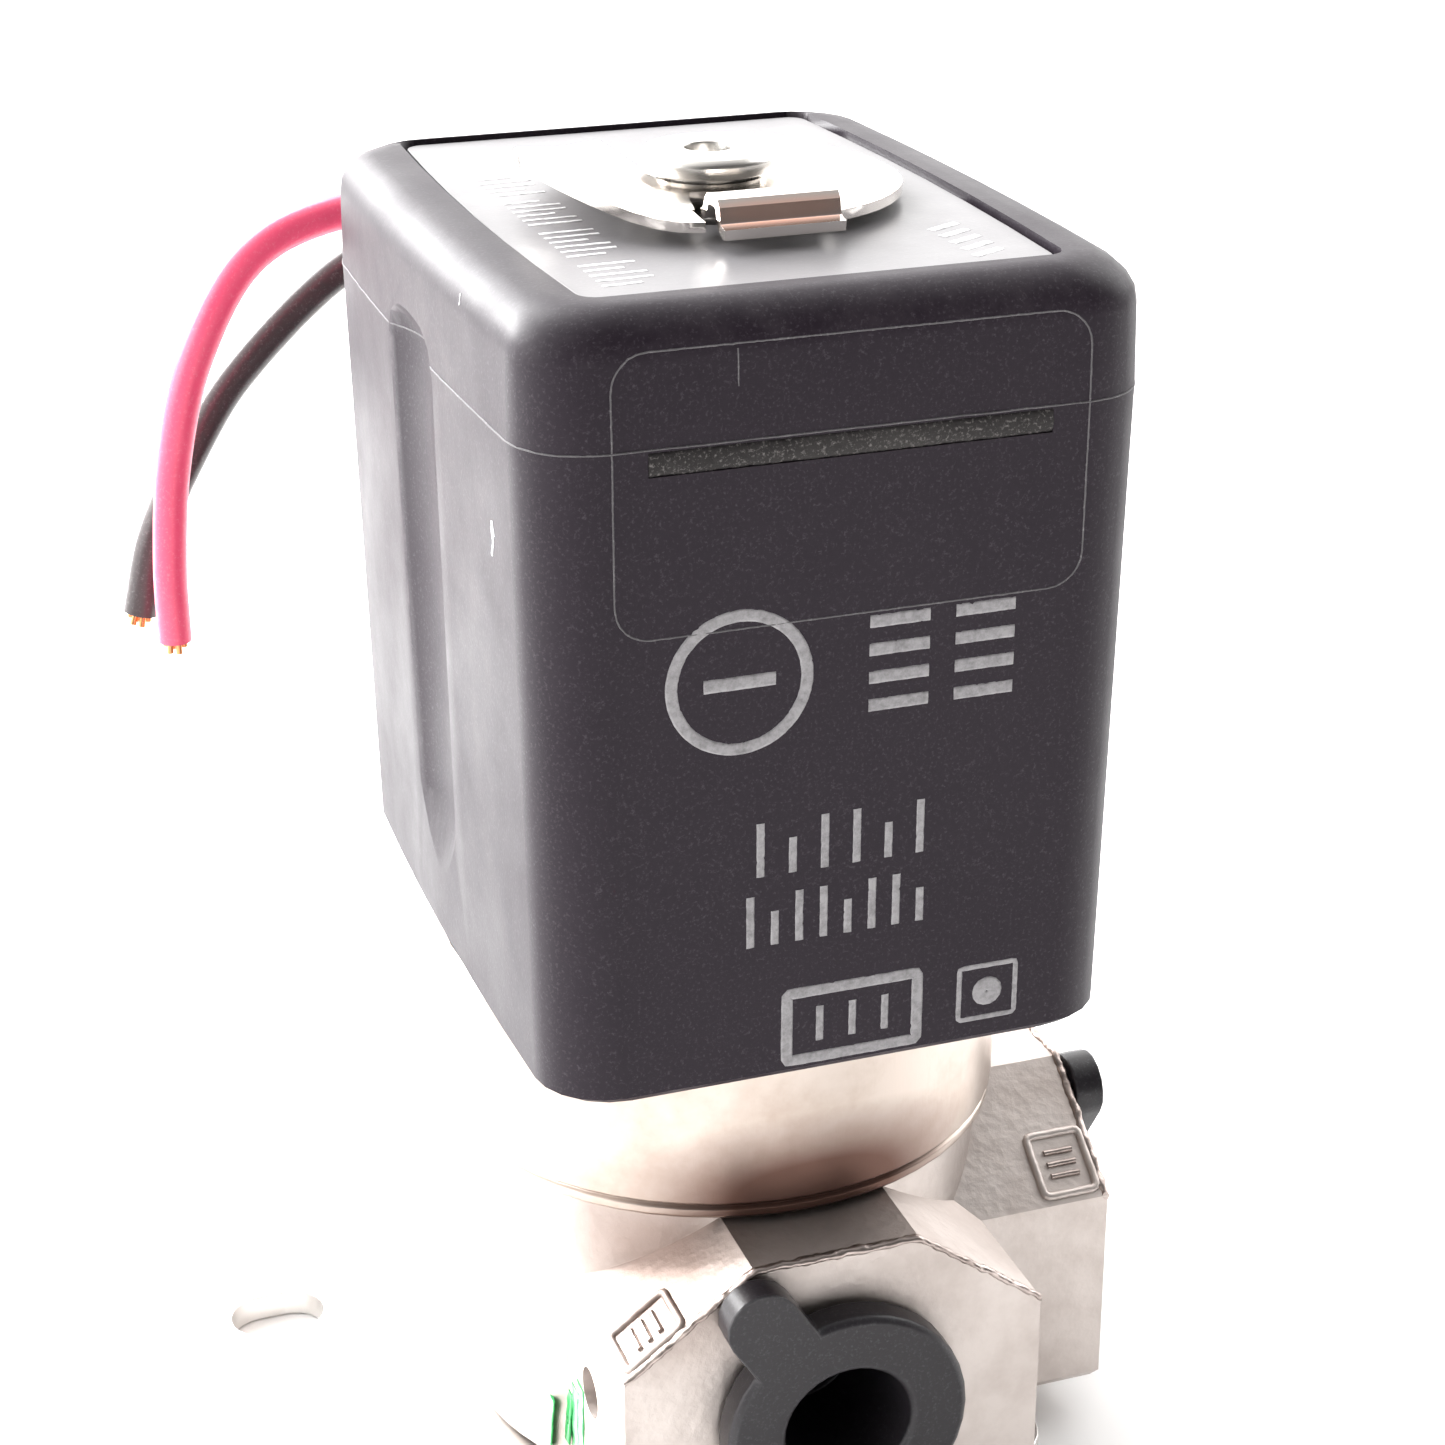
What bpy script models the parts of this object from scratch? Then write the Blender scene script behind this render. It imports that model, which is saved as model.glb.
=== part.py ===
"""Direct-acting three-port solenoid valve with a moulded coil, standing on its bracket.

Units are metres and +Z is up. The coil axis is the Z axis, the standing face of the
bracket is z = 0, and port 2 faces -Y, port 3 faces +X and port 1 faces +Y.
"""
import math

import bmesh
import bpy
from mathutils import Matrix, Vector

MM = 0.001
GAP = 0.3                       # clearance between neighbouring pieces, mm

# ---- heights along the coil axis, mm -------------------------------------------
BRACKET_THICK = 1.6
BODY_BASE = BRACKET_THICK + GAP
PORT_Z = 10.5
SHOULDER_Z = 19.8
NECK_TOP = 24.5
COLLAR_BASE = SHOULDER_Z + GAP
COIL_BASE = 31.0
COLLAR_TOP = COIL_BASE - GAP
COIL_HEIGHT = 39.0
COIL_TOP = COIL_BASE + COIL_HEIGHT
PARTING_Z = COIL_BASE + 32.8
STROKE = 0.8

# ---- coil housing, mm --------------------------------------------------------------
COIL_HALF_X = 15.0
COIL_HALF_Y = 20.0
SIDE_BULGE = 0.55               # how far the two long sides bow outwards at mid length
CORNER_RADIUS = 3.4
TOP_ROUND = 2.3
DRAFT_BELOW = 0.013             # mould draft under and over the parting line
DRAFT_ABOVE = 0.02
CAVITY_HALF_X = 12.9
CAVITY_HALF_Y = 15.8
CAVITY_TOP = 65.7
PLATE_HALF_X = 11.3
PLATE_FRONT = -16.6
PLATE_BACK = 17.4
PLATE_TOP = COIL_TOP - 0.25
PLATE_THICK = 0.75

# ---- tube, core and armature, mm ---------------------------------------------------
TUBE_OUTER = 4.7
TUBE_INNER = 4.35
PLUNGER_RADIUS = 4.05
STEEL_BORE = 5.0
ARMATURE_BASE = 21.6
ARMATURE_TOP = 48.0
CORE_FACE = 49.6
TUBE_TOP = 66.0
NECK_RADIUS = 2.6
HEAD_RADIUS = 3.5
HEAD_TOP = COIL_TOP + 2.4

# ---- valve body and ports, mm --------------------------------------------------------
BODY_RADIUS = 14.6
COLLAR_RADIUS = 15.5
NECK_OUTER = 12.0
BOSS_HALF_WIDTH = 11.5
BOSS_FLAT_HALF = 4.5
BOSS_CHAMFER_DROP = 5.2
BOSS_REACH = 19.2
PORT_RADIUS = 4.35
PORT_FLOOR = 9.6
VALVE_BORE = 4.2
VALVE_BORE_TOP = 17.0
PLUG_BORE = 6.3
PLUG_BORE_TOP = 5.9
SCREW_SPOT = 7.8                # bracket screws stand at (-spot, -spot) and (spot, spot)


# ---------------------------------------------------------------------------------------
# helpers
# ---------------------------------------------------------------------------------------
def clear_scene():
    """Remove whatever the start-up file brought in."""
    for item in list(bpy.data.objects):
        bpy.data.objects.remove(item, do_unlink=True)


def finish_material(name, colour, roughness, metallic):
    """Return a Principled material made once per name."""
    made = bpy.data.materials.get(name)
    if made:
        return made
    made = bpy.data.materials.new(name)
    made.use_nodes = True
    shader = made.node_tree.nodes["Principled BSDF"]
    shader.inputs["Base Color"].default_value = (*colour, 1.0)
    shader.inputs["Roughness"].default_value = roughness
    shader.inputs["Metallic"].default_value = metallic
    made.diffuse_color = (*colour, 1.0)
    return made


def add_object(name, points, faces, material=None, smooth=False, origin=(0.0, 0.0, 0.0)):
    """Make one mesh object from millimetre points, with outward faces, about its origin."""
    mesh = bpy.data.meshes.new(name)
    base = Vector(origin)
    mesh.from_pydata([(Vector(p) - base) * MM for p in points], [], faces)
    work = bmesh.new()
    work.from_mesh(mesh)
    bmesh.ops.recalc_face_normals(work, faces=work.faces)
    if work.calc_volume(signed=True) < 0:
        bmesh.ops.reverse_faces(work, faces=work.faces)
    work.to_mesh(mesh)
    work.free()
    made = bpy.data.objects.new(name, mesh)
    made.location = base * MM
    bpy.context.scene.collection.objects.link(made)
    if material:
        mesh.materials.append(material)
    if smooth:
        shade_round(made)
    return made


def shade_round(made, angle=35.0):
    """Shade a piece smooth and keep the edges sharper than the angle crisp."""
    mesh = made.data
    mesh.polygons.foreach_set("use_smooth", [True] * len(mesh.polygons))
    mesh.set_sharp_from_angle(angle=math.radians(angle))


def circle_points(radius, count, start=0.0):
    """Return points on a circle in the XY plane."""
    step = math.tau / count
    return [(radius * math.cos(start + step * i), radius * math.sin(start + step * i)) for i in range(count)]


def lathe(name, profile, segments=40, closed=False, **options):
    """Turn a profile of (radius, height) points about Z.

    A closed profile makes a ring. An open one starts and ends on the axis.
    """
    points = []
    rows = []
    for radius, height in profile:
        if radius < 1e-6:
            rows.append([len(points)])
            points.append((0.0, 0.0, height))
            continue
        rows.append(list(range(len(points), len(points) + segments)))
        points.extend((x, y, height) for x, y in circle_points(radius, segments))
    pairs = list(zip(rows, rows[1:]))
    if closed:
        pairs.append((rows[-1], rows[0]))
    faces = []
    for low, high in pairs:
        for i in range(segments):
            j = (i + 1) % segments
            ring = [low[i % len(low)], low[j % len(low)], high[j % len(high)], high[i % len(high)]]
            faces.append([v for k, v in enumerate(ring) if v not in ring[:k]])
    return add_object(name, points, faces, **options)


def loft(name, rings, **options):
    """Skin closed rings of equal point count and cap both ends."""
    count = len(rings[0])
    points = [p for ring in rings for p in ring]
    faces = [list(range(count)), list(range((len(rings) - 1) * count, len(rings) * count))]
    for level in range(len(rings) - 1):
        for i in range(count):
            j = (i + 1) % count
            a = level * count
            b = a + count
            faces.append([a + i, a + j, b + j, b + i])
    return add_object(name, points, faces, **options)


def prism(name, outline, low, high, **options):
    """Extrude an XY outline between two heights."""
    rings = [[(x, y, z) for x, y in outline] for z in (low, high)]
    return loft(name, rings, **options)


def rounded_outline(half_x, half_y, radius, steps=5):
    """Return a rounded rectangle about the origin, anticlockwise."""
    points = []
    for quarter, (sx, sy) in enumerate(((1, 1), (-1, 1), (-1, -1), (1, -1))):
        for i in range(steps + 1):
            angle = math.pi / 2 * (quarter + i / steps)
            x = sx * (half_x - radius) + radius * math.cos(angle)
            y = sy * (half_y - radius) + radius * math.sin(angle)
            points.append((x, y))
    return points


def box_cutter(name, low, high):
    """Return a plain box between two corners."""
    outline = [(low[0], low[1]), (high[0], low[1]), (high[0], high[1]), (low[0], high[1])]
    return prism(name, outline, low[2], high[2])


def turn_into_place(made, direction, origin):
    """Stand a piece built along +Z so that it points in a direction from a point."""
    aim = Vector((0, 0, 1)).rotation_difference(Vector(direction)).to_matrix().to_4x4()
    if abs(direction[1]) > 0.5:
        # keeps local X level, so that a front piece and a back piece stay upright
        side = Vector((-direction[1], 0.0, 0.0))
        up = Vector((0.0, 0.0, 1.0))
        aim = Matrix((side, up, Vector(direction))).transposed().to_4x4()
    elif abs(direction[0]) > 0.5:
        side = Vector((0.0, direction[0], 0.0))
        up = Vector((0.0, 0.0, 1.0))
        aim = Matrix((side, up, Vector(direction))).transposed().to_4x4()
    made.data.transform(aim)
    made.location = Vector(origin) * MM


def combine(target, tool, operation):
    """Apply one exact Boolean to the target's mesh and remove the tool."""
    tool.hide_render = True
    tool.display_type = "WIRE"
    step = target.modifiers.new("combine", "BOOLEAN")
    step.operation = operation
    step.solver = "EXACT"
    step.object = tool
    bpy.context.view_layer.update()
    depsgraph = bpy.context.evaluated_depsgraph_get()
    solid = bpy.data.meshes.new_from_object(target.evaluated_get(depsgraph))
    target.modifiers.remove(step)
    old = target.data
    target.data = solid
    solid.name = target.name
    bpy.data.meshes.remove(old)
    bpy.data.objects.remove(tool, do_unlink=True)


def weld(target, distance=0.0005):
    """Merge the stray near-duplicate points a Boolean can leave."""
    work = bmesh.new()
    work.from_mesh(target.data)
    bmesh.ops.remove_doubles(work, verts=work.verts, dist=distance * MM)
    bmesh.ops.dissolve_degenerate(work, edges=work.edges, dist=distance * MM)
    work.to_mesh(target.data)
    work.free()


def settle(target, material, smooth=True):
    """Leave one material on a piece after its Booleans, and shade it."""
    weld(target)
    target.data.materials.clear()
    target.data.materials.append(material)
    if smooth:
        shade_round(target)
    return target


def helix_spring(name, mean_radius, wire_radius, low, high, turns, material):
    """Make a coil spring of round wire standing on Z between two heights."""
    sides = 6
    steps = int(turns * 14)
    first = low + wire_radius
    rise = (high - low - 2 * wire_radius) / steps
    rings = []
    for i in range(steps + 1):
        angle = math.tau * turns * i / steps
        out = Vector((math.cos(angle), math.sin(angle), 0.0))
        along = Vector((-math.sin(angle), math.cos(angle), rise * steps / (math.tau * turns * mean_radius)))
        along.normalize()
        up = out.cross(along)
        centre = out * mean_radius + Vector((0.0, 0.0, first + rise * i))
        ring = []
        for x, y in circle_points(wire_radius, sides):
            ring.append(tuple(centre + out * x + up * y))
        rings.append(ring)
    return loft(name, rings, material=material, smooth=True, origin=(0.0, 0.0, low))


# ---------------------------------------------------------------------------------------
# finishes
# ---------------------------------------------------------------------------------------
BLACK_MOULDING = finish_material("black_moulding", (0.022, 0.02, 0.024), 0.55, 0.0)
PLATE_FINISH = finish_material("plate_film", (0.05, 0.05, 0.055), 0.4, 0.0)
STAINLESS = finish_material("stainless", (0.72, 0.71, 0.69), 0.25, 1.0)
CORE_STEEL = finish_material("core_steel", (0.6, 0.59, 0.57), 0.35, 1.0)
YOKE_STEEL = finish_material("plated_steel", (0.55, 0.55, 0.56), 0.4, 1.0)
CAST_METAL = finish_material("cast_metal", (0.66, 0.62, 0.57), 0.45, 1.0)
COLLAR_METAL = finish_material("turned_collar", (0.7, 0.63, 0.56), 0.4, 1.0)
COPPER = finish_material("copper_wire", (0.72, 0.33, 0.16), 0.35, 1.0)
BOBBIN_PLASTIC = finish_material("bobbin_plastic", (0.62, 0.6, 0.54), 0.5, 0.0)
SEAL_RUBBER = finish_material("seal_rubber", (0.03, 0.03, 0.03), 0.75, 0.0)
CAP_PLASTIC = finish_material("cap_plastic", (0.015, 0.015, 0.016), 0.42, 0.0)
RED_JACKET = finish_material("red_jacket", (0.62, 0.03, 0.06), 0.45, 0.0)
BLACK_JACKET = finish_material("black_jacket", (0.02, 0.02, 0.02), 0.45, 0.0)
ZINC = finish_material("zinc_plate", (0.68, 0.68, 0.66), 0.3, 1.0)


# ---------------------------------------------------------------------------------------
# coil assembly
# ---------------------------------------------------------------------------------------
def bowed_outline(inset, radius, front=-COIL_HALF_Y, back=COIL_HALF_Y, half_x=COIL_HALF_X):
    """Return a rounded rectangle whose two long sides bow outwards.

    The bow is an arc over the full length, so the corners are laid on it.
    """
    middle = (front + back) / 2
    half_y = (back - front) / 2 - inset
    flat = rounded_outline(half_x - inset, half_y, radius, steps=5)
    points = []
    bow_steps = 6
    for i, (x, y) in enumerate(flat):
        points.append((x, y))
        last_of_side = i in (11, 23)
        if last_of_side:
            next_x, next_y = flat[(i + 1) % len(flat)]
            for k in range(1, bow_steps):
                share = k / bow_steps
                points.append((x + (next_x - x) * share, y + (next_y - y) * share))
    bowed = []
    for x, y in points:
        share = y / (half_y if half_y else 1.0)
        side = 1.0 if x > 0 else -1.0
        weight = min(1.0, abs(x) / max(half_x - inset - radius, 1e-6))
        bowed.append((x + side * weight ** 4 * SIDE_BULGE * (1 - share ** 2), y + middle))
    return bowed


def build_housing():
    """The moulded block: bowed drafted walls, rounded rim, plate seat, grooves and cavity."""
    rings = []
    for height, inset, radius in housing_levels():
        rings.append([(x, y, height) for x, y in bowed_outline(inset, radius)])
    housing = loft("coil_housing", rings)
    cavity = prism("cavity", rounded_outline(CAVITY_HALF_X, CAVITY_HALF_Y, 1.5, 3), COIL_BASE - 1, CAVITY_TOP)
    combine(housing, cavity, "DIFFERENCE")
    stem_hole = prism("stem_hole", circle_points(STEEL_BORE + 0.05, 32), CAVITY_TOP - 1, COIL_TOP + 1)
    combine(housing, stem_hole, "DIFFERENCE")
    seat = prism("seat", plate_outline(0.0), PLATE_TOP - PLATE_THICK - GAP, COIL_TOP + 1)
    combine(housing, seat, "DIFFERENCE")
    for side in (-1, 1):
        combine(housing, groove_cutter(side), "DIFFERENCE")
    gate = box_cutter("gate", (-9.7, -COIL_HALF_Y - 1, PARTING_Z - 1.25), (9.7, -COIL_HALF_Y + 0.3, PARTING_Z - 0.1))
    combine(housing, gate, "DIFFERENCE")
    outlet = prism("outlet", rounded_outline(4.6, 2.6, 1.2, 3), 0.0, 12.0)
    turn_into_place(outlet, (0, 1, 0), (0.0, CAVITY_HALF_Y - 2.0, LEAD_Z))
    combine(housing, outlet, "DIFFERENCE")
    settle(housing, BLACK_MOULDING)
    move_origin(housing, (0.0, 0.0, COIL_BASE))
    return housing


def housing_levels():
    """Return (height, inset, corner radius) for each ring of the moulded block."""
    bottom_round = 0.4
    below = DRAFT_BELOW * (PARTING_Z - COIL_BASE)
    levels = [
        (COIL_BASE, below + bottom_round, CORNER_RADIUS),
        (COIL_BASE + bottom_round, below, CORNER_RADIUS),
        (PARTING_Z, 0.0, CORNER_RADIUS),
    ]
    start = COIL_TOP - TOP_ROUND
    above = DRAFT_ABOVE * (start - PARTING_Z)
    steps = 5
    for i in range(steps + 1):
        angle = math.pi / 2 * i / steps
        inset = above + TOP_ROUND * (1 - math.cos(angle))
        height = start + TOP_ROUND * math.sin(angle)
        levels.append((height, inset, CORNER_RADIUS - 0.25 * i / steps))
    return levels


def plate_outline(inset):
    """Return the outline of the name plate's seat, drawn in by an inset."""
    return bowed_outline(inset, 0.9, PLATE_FRONT - GAP, PLATE_BACK + GAP, PLATE_HALF_X + GAP)


def groove_cutter(side):
    """A shallow upright flute in a long side, rounded at the top and running out below."""
    depth = 1.0
    radius = 9.4
    centre_x = side * (COIL_HALF_X + SIDE_BULGE + radius - depth - 0.15)
    low = COIL_BASE + 1.8
    high = COIL_BASE + 34.6
    shallow = radius - depth - 0.3
    profile = [
        (0.0, low),
        (shallow, low),
        (radius, low + 6.0),
        (radius, high - 2.2),
        (radius - 0.25, high - 1.0),
        (radius - 0.75, high - 0.3),
        (shallow, high),
        (0.0, high),
    ]
    cutter = lathe("flute", profile, segments=72)
    cutter.location.x = centre_x * MM
    return cutter


def move_origin(made, origin):
    """Move a piece's origin without moving its shape."""
    base = Vector(origin) * MM
    shift = base - made.location
    made.data.transform(Matrix.Translation(-shift))
    made.location = base


def build_name_plate():
    """The thin name plate in its seat on top, with a hole for the stem."""
    rings = [[(x, y, z) for x, y in plate_outline(GAP)] for z in (PLATE_TOP - PLATE_THICK, PLATE_TOP)]
    plate = loft("name_plate", rings)
    hole = prism("hole", circle_points(STEEL_BORE + 0.35, 32), PLATE_TOP - 2, PLATE_TOP + 1)
    combine(plate, hole, "DIFFERENCE")
    settle(plate, PLATE_FINISH)
    move_origin(plate, (0.0, 0.0, PLATE_TOP - PLATE_THICK))


BOBBIN_BASE = COIL_BASE + GAP + 2.0 + GAP
BOBBIN_TOP = CAVITY_TOP - GAP - 2.0 - GAP
FLANGE_THICK = 1.2
FLANGE_RADIUS = 12.6


def build_windings():
    """The plastic spool and the copper wound on it."""
    low = BOBBIN_BASE
    high = BOBBIN_TOP
    spool_radius = 5.8
    spool = [
        (STEEL_BORE, low), (FLANGE_RADIUS, low), (FLANGE_RADIUS, low + FLANGE_THICK),
        (spool_radius, low + FLANGE_THICK), (spool_radius, high - FLANGE_THICK),
        (FLANGE_RADIUS, high - FLANGE_THICK), (FLANGE_RADIUS, high), (STEEL_BORE, high),
    ]
    lathe("coil_bobbin", spool, 40, True, material=BOBBIN_PLASTIC, smooth=True, origin=(0, 0, low))
    wound_low = low + FLANGE_THICK + GAP
    wound_high = high - FLANGE_THICK - GAP
    inner = spool_radius + GAP
    wound = [
        (inner, wound_low), (11.6, wound_low), (12.1, wound_low + 1.0),
        (12.1, wound_high - 1.0), (11.6, wound_high), (inner, wound_high),
    ]
    lathe("coil_winding", wound, 40, True, material=COPPER, smooth=True, origin=(0, 0, wound_low))


def build_magnet_frame():
    """The folded steel yoke over the coil and the flux plate under it."""
    thick = 2.0
    half_x = 10.5
    outer = 15.5
    top = CAVITY_TOP - GAP
    bend = 2.6
    arch = [(outer, BOBBIN_BASE)]
    inner_arch = [(outer - thick, BOBBIN_BASE)]
    for i in range(5):
        angle = math.pi / 2 * i / 4
        arch.append((outer - bend + bend * math.cos(angle), top - bend + bend * math.sin(angle)))
        tight = bend - thick
        inner_arch.append((outer - bend + tight * math.cos(angle), top - bend + tight * math.sin(angle)))
    left = [(-y, z) for y, z in reversed(arch)]
    inner_left = [(-y, z) for y, z in reversed(inner_arch)]
    section = arch + left + list(reversed(inner_arch + inner_left))
    rings = [[(x, y, z) for y, z in section] for x in (-half_x, half_x)]
    yoke = loft("magnet_yoke", rings)
    hole = prism("hole", circle_points(STEEL_BORE, 32), top - 5, top + 1)
    combine(yoke, hole, "DIFFERENCE")
    settle(yoke, YOKE_STEEL)
    base = COIL_BASE + GAP
    flux = prism("flux_plate", rounded_outline(half_x, outer, 1.0, 3), base, base + thick)
    hole = prism("hole", circle_points(STEEL_BORE, 32), base - 1, base + thick + 1)
    combine(flux, hole, "DIFFERENCE")
    settle(flux, YOKE_STEEL)
    move_origin(yoke, (0.0, 0.0, top))
    move_origin(flux, (0.0, 0.0, base))


LEAD_Z = COIL_BASE + 32.6
LEAD_SPREAD = 1.75
LEAD_RADIUS = 1.0
GROMMET_FACE = COIL_HALF_Y + 1.6


def build_grommet():
    """The rubber grommet that fills the cable outlet, with a lip on the outside."""
    start = CAVITY_HALF_Y + 0.1
    levels = [
        (start, 0.0, 0.0), (COIL_HALF_Y + GAP, 0.0, 0.0), (COIL_HALF_Y + GAP, 0.6, 0.4),
        (GROMMET_FACE - 0.4, 0.6, 0.4), (GROMMET_FACE, 0.2, 0.0),
    ]
    rings = []
    for reach, grow, extra in levels:
        outline = rounded_outline(4.3 + grow, 2.3 + grow, 1.0 + extra, 4)
        rings.append([(x, z, reach) for x, z in outline])
    grommet = loft("lead_grommet", rings, material=SEAL_RUBBER)
    turn_into_place(grommet, (0, 1, 0), (0.0, 0.0, LEAD_Z))
    shade_round(grommet)
    move_origin(grommet, (0.0, COIL_HALF_Y, LEAD_Z))


def smooth_path(stations, spacing):
    """Return evenly spaced points along a Catmull-Rom curve through the stations."""
    knots = [Vector(s) for s in stations]
    first = knots[0] * 2 - knots[1]
    last = knots[-1] * 2 - knots[-2]
    padded = [first] + knots + [last]
    dense = []
    fine = 24
    for i in range(1, len(padded) - 2):
        a, b, c, d = padded[i - 1:i + 3]
        for k in range(fine):
            t = k / fine
            dense.append(0.5 * (2 * b + (c - a) * t + (2 * a - 5 * b + 4 * c - d) * t ** 2
                                + (3 * b - a - 3 * c + d) * t ** 3))
    dense.append(knots[-1])
    total = sum((q - p).length for p, q in zip(dense, dense[1:]))
    count = max(4, round(total / spacing))
    even = [dense[0]]
    travelled = 0.0
    for p, q in zip(dense, dense[1:]):
        leg = (q - p).length
        while len(even) < count and travelled + leg >= len(even) * total / count:
            share = (len(even) * total / count - travelled) / leg
            even.append(p.lerp(q, share))
        travelled += leg
    even.append(dense[-1])
    return even


def build_lead(name, stations, material):
    """One insulated lead as a round tube along a smooth path, meeting the grommet."""
    path = smooth_path(stations, 2.4 * LEAD_RADIUS)
    curve = bpy.data.curves.new(name, "CURVE")
    curve.dimensions = "3D"
    curve.bevel_depth = LEAD_RADIUS * MM
    curve.bevel_resolution = 2
    curve.use_fill_caps = True
    strand = curve.splines.new("POLY")
    strand.points.add(len(path) - 1)
    for point, place in zip(strand.points, path):
        point.co = (*(place * MM), 1.0)
    curve.materials.append(material)
    made = bpy.data.objects.new(name, curve)
    bpy.context.scene.collection.objects.link(made)


def build_leads():
    """The two short cut leads, leaving the grommet side by side and falling to the left."""
    start = GROMMET_FACE + GAP
    level = LEAD_Z
    build_lead("lead_red", [
        (-LEAD_SPREAD, start, level),
        (-LEAD_SPREAD, start + 2.2, level),
        (-6.0, 26.0, level + 1.0),
        (-13.6, 25.8, level + 0.8),
        (-18.8, 25.3, level - 1.3),
        (-22.2, 25.0, level - 6.6),
        (-23.9, 25.0, level - 12.6),
        (-24.6, 25.0, level - 18.5),
        (-24.7, 25.0, level - 23.4),
    ], RED_JACKET)
    build_lead("lead_black", [
        (LEAD_SPREAD, start, level),
        (LEAD_SPREAD, start + 2.4, level),
        (-2.5, 28.6, level - 0.4),
        (-8.0, 29.6, level - 1.6),
        (-13.2, 29.6, level - 3.8),
        (-19.0, 29.2, level - 8.8),
        (-22.2, 28.6, level - 13.0),
        (-24.9, 28.2, level - 18.0),
        (-26.2, 28.0, level - 22.6),
    ], BLACK_JACKET)


# ---------------------------------------------------------------------------------------
# retaining clip
# ---------------------------------------------------------------------------------------
CLIP_THICK = 0.5
CLIP_LEVEL = COIL_TOP + 0.85
CLIP_RADIUS = 9.6
CLIP_SLOT = NECK_RADIUS + GAP


def clip_height(x, y):
    """Return the height of the sprung leaf: left wing up, right wing and front down."""
    rise = 0.0
    if x < -4.6:
        rise += 1.45 * ((-x - 4.6) / (CLIP_RADIUS - 4.6)) ** 1.6
    if x > 4.6:
        rise -= 0.4 * (x - 4.6) / (CLIP_RADIUS - 4.6)
    if y < -5.0:
        rise -= 0.32 * ((-y - 5.0) / (CLIP_RADIUS - 5.0)) ** 1.3 * min(1.0, abs(x) / 4.0)
    return CLIP_LEVEL + rise


def build_clip():
    """The spring clip: a bent horseshoe leaf in the stem's neck, with a rolled finger tab."""
    open_angle = math.asin(CLIP_SLOT / CLIP_RADIUS)
    back_y = CLIP_RADIUS * math.cos(open_angle)
    start = math.pi / 2 + open_angle
    end = math.pi / 2 - open_angle + math.tau
    around = 48
    across = 5
    lower = []
    upper = []
    for i in range(around + 1):
        angle = start + (end - start) * i / around
        outer = Vector((CLIP_RADIUS * math.cos(angle), CLIP_RADIUS * math.sin(angle)))
        if angle < math.pi:
            inner = Vector((-CLIP_SLOT, back_y * (math.pi - angle) / (math.pi - start)))
        elif angle > math.tau:
            inner = Vector((CLIP_SLOT, back_y * (angle - math.tau) / (end - math.tau)))
        else:
            inner = Vector((CLIP_SLOT * math.cos(angle), CLIP_SLOT * math.sin(angle)))
        for k in range(across + 1):
            spot = inner.lerp(outer, k / across)
            level = clip_height(spot.x, spot.y)
            lower.append((spot.x, spot.y, level - CLIP_THICK / 2))
            upper.append((spot.x, spot.y, level + CLIP_THICK / 2))
    leaf = grid_slab("retaining_clip", lower, upper, around, across)
    notch = box_cutter("notch", (-3.25, -12.0, CLIP_LEVEL - 2), (3.4, -6.9, CLIP_LEVEL + 2))
    combine(leaf, notch, "DIFFERENCE")
    combine(leaf, finger_tab(), "UNION")
    split = prism("split", [
        (-3.2, -12.0), (-2.95, -12.0), (-2.95, -7.3), (-1.5, -4.8), (-1.3, -3.9), (-2.3, -3.9), (-2.7, -5.0),
        (-3.2, -7.5),
    ], CLIP_LEVEL - 1.2, CLIP_LEVEL + 0.6)
    combine(leaf, split, "DIFFERENCE")
    settle(leaf, STAINLESS)
    move_origin(leaf, (0.0, 0.0, CLIP_LEVEL))


def grid_slab(name, lower, upper, around, across):
    """Close two matching grids of points into one thin solid."""
    shift = len(lower)
    row = across + 1
    faces = []
    for i in range(around):
        for k in range(across):
            a = i * row + k
            faces.append([a, a + 1, a + row + 1, a + row])
            faces.append([shift + a, shift + a + row, shift + a + row + 1, shift + a + 1])
        for edge in (0, across):
            a = i * row + edge
            faces.append([a, a + row, shift + a + row, shift + a])
    for end in (0, around):
        for k in range(across):
            a = end * row + k
            faces.append([a, a + 1, shift + a + 1, shift + a])
    return add_object(name, lower + upper, faces)


def finger_tab():
    """The strip that rises in front, folds over flat and ends in a kicked-out lip."""
    left = -2.9
    right = 3.1
    up = COIL_TOP
    line = [
        (-6.0, up + 0.85), (-7.2, up + 0.87), (-7.75, up + 1.02), (-7.98, up + 1.35), (-8.1, up + 1.65),
        (-8.35, up + 1.85), (-8.7, up + 1.9), (-9.25, up + 1.9), (-9.55, up + 1.83), (-9.74, up + 1.62),
        (-9.8, up + 1.3), (-9.86, up + 1.02), (-10.02, up + 0.8), (-10.32, up + 0.66), (-10.75, up + 0.6),
    ]
    over = []
    under = []
    for i, (y, z) in enumerate(line):
        before = Vector(line[max(i - 1, 0)])
        after = Vector(line[min(i + 1, len(line) - 1)])
        along = (after - before).normalized()
        normal = Vector((along.y, -along.x)) * CLIP_THICK / 2
        over.append((y + normal.x, z + normal.y))
        under.append((y - normal.x, z - normal.y))
    section = over + list(reversed(under))
    rings = [[(x, y, z) for y, z in section] for x in (left, right)]
    return loft("finger_tab", rings)


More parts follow.
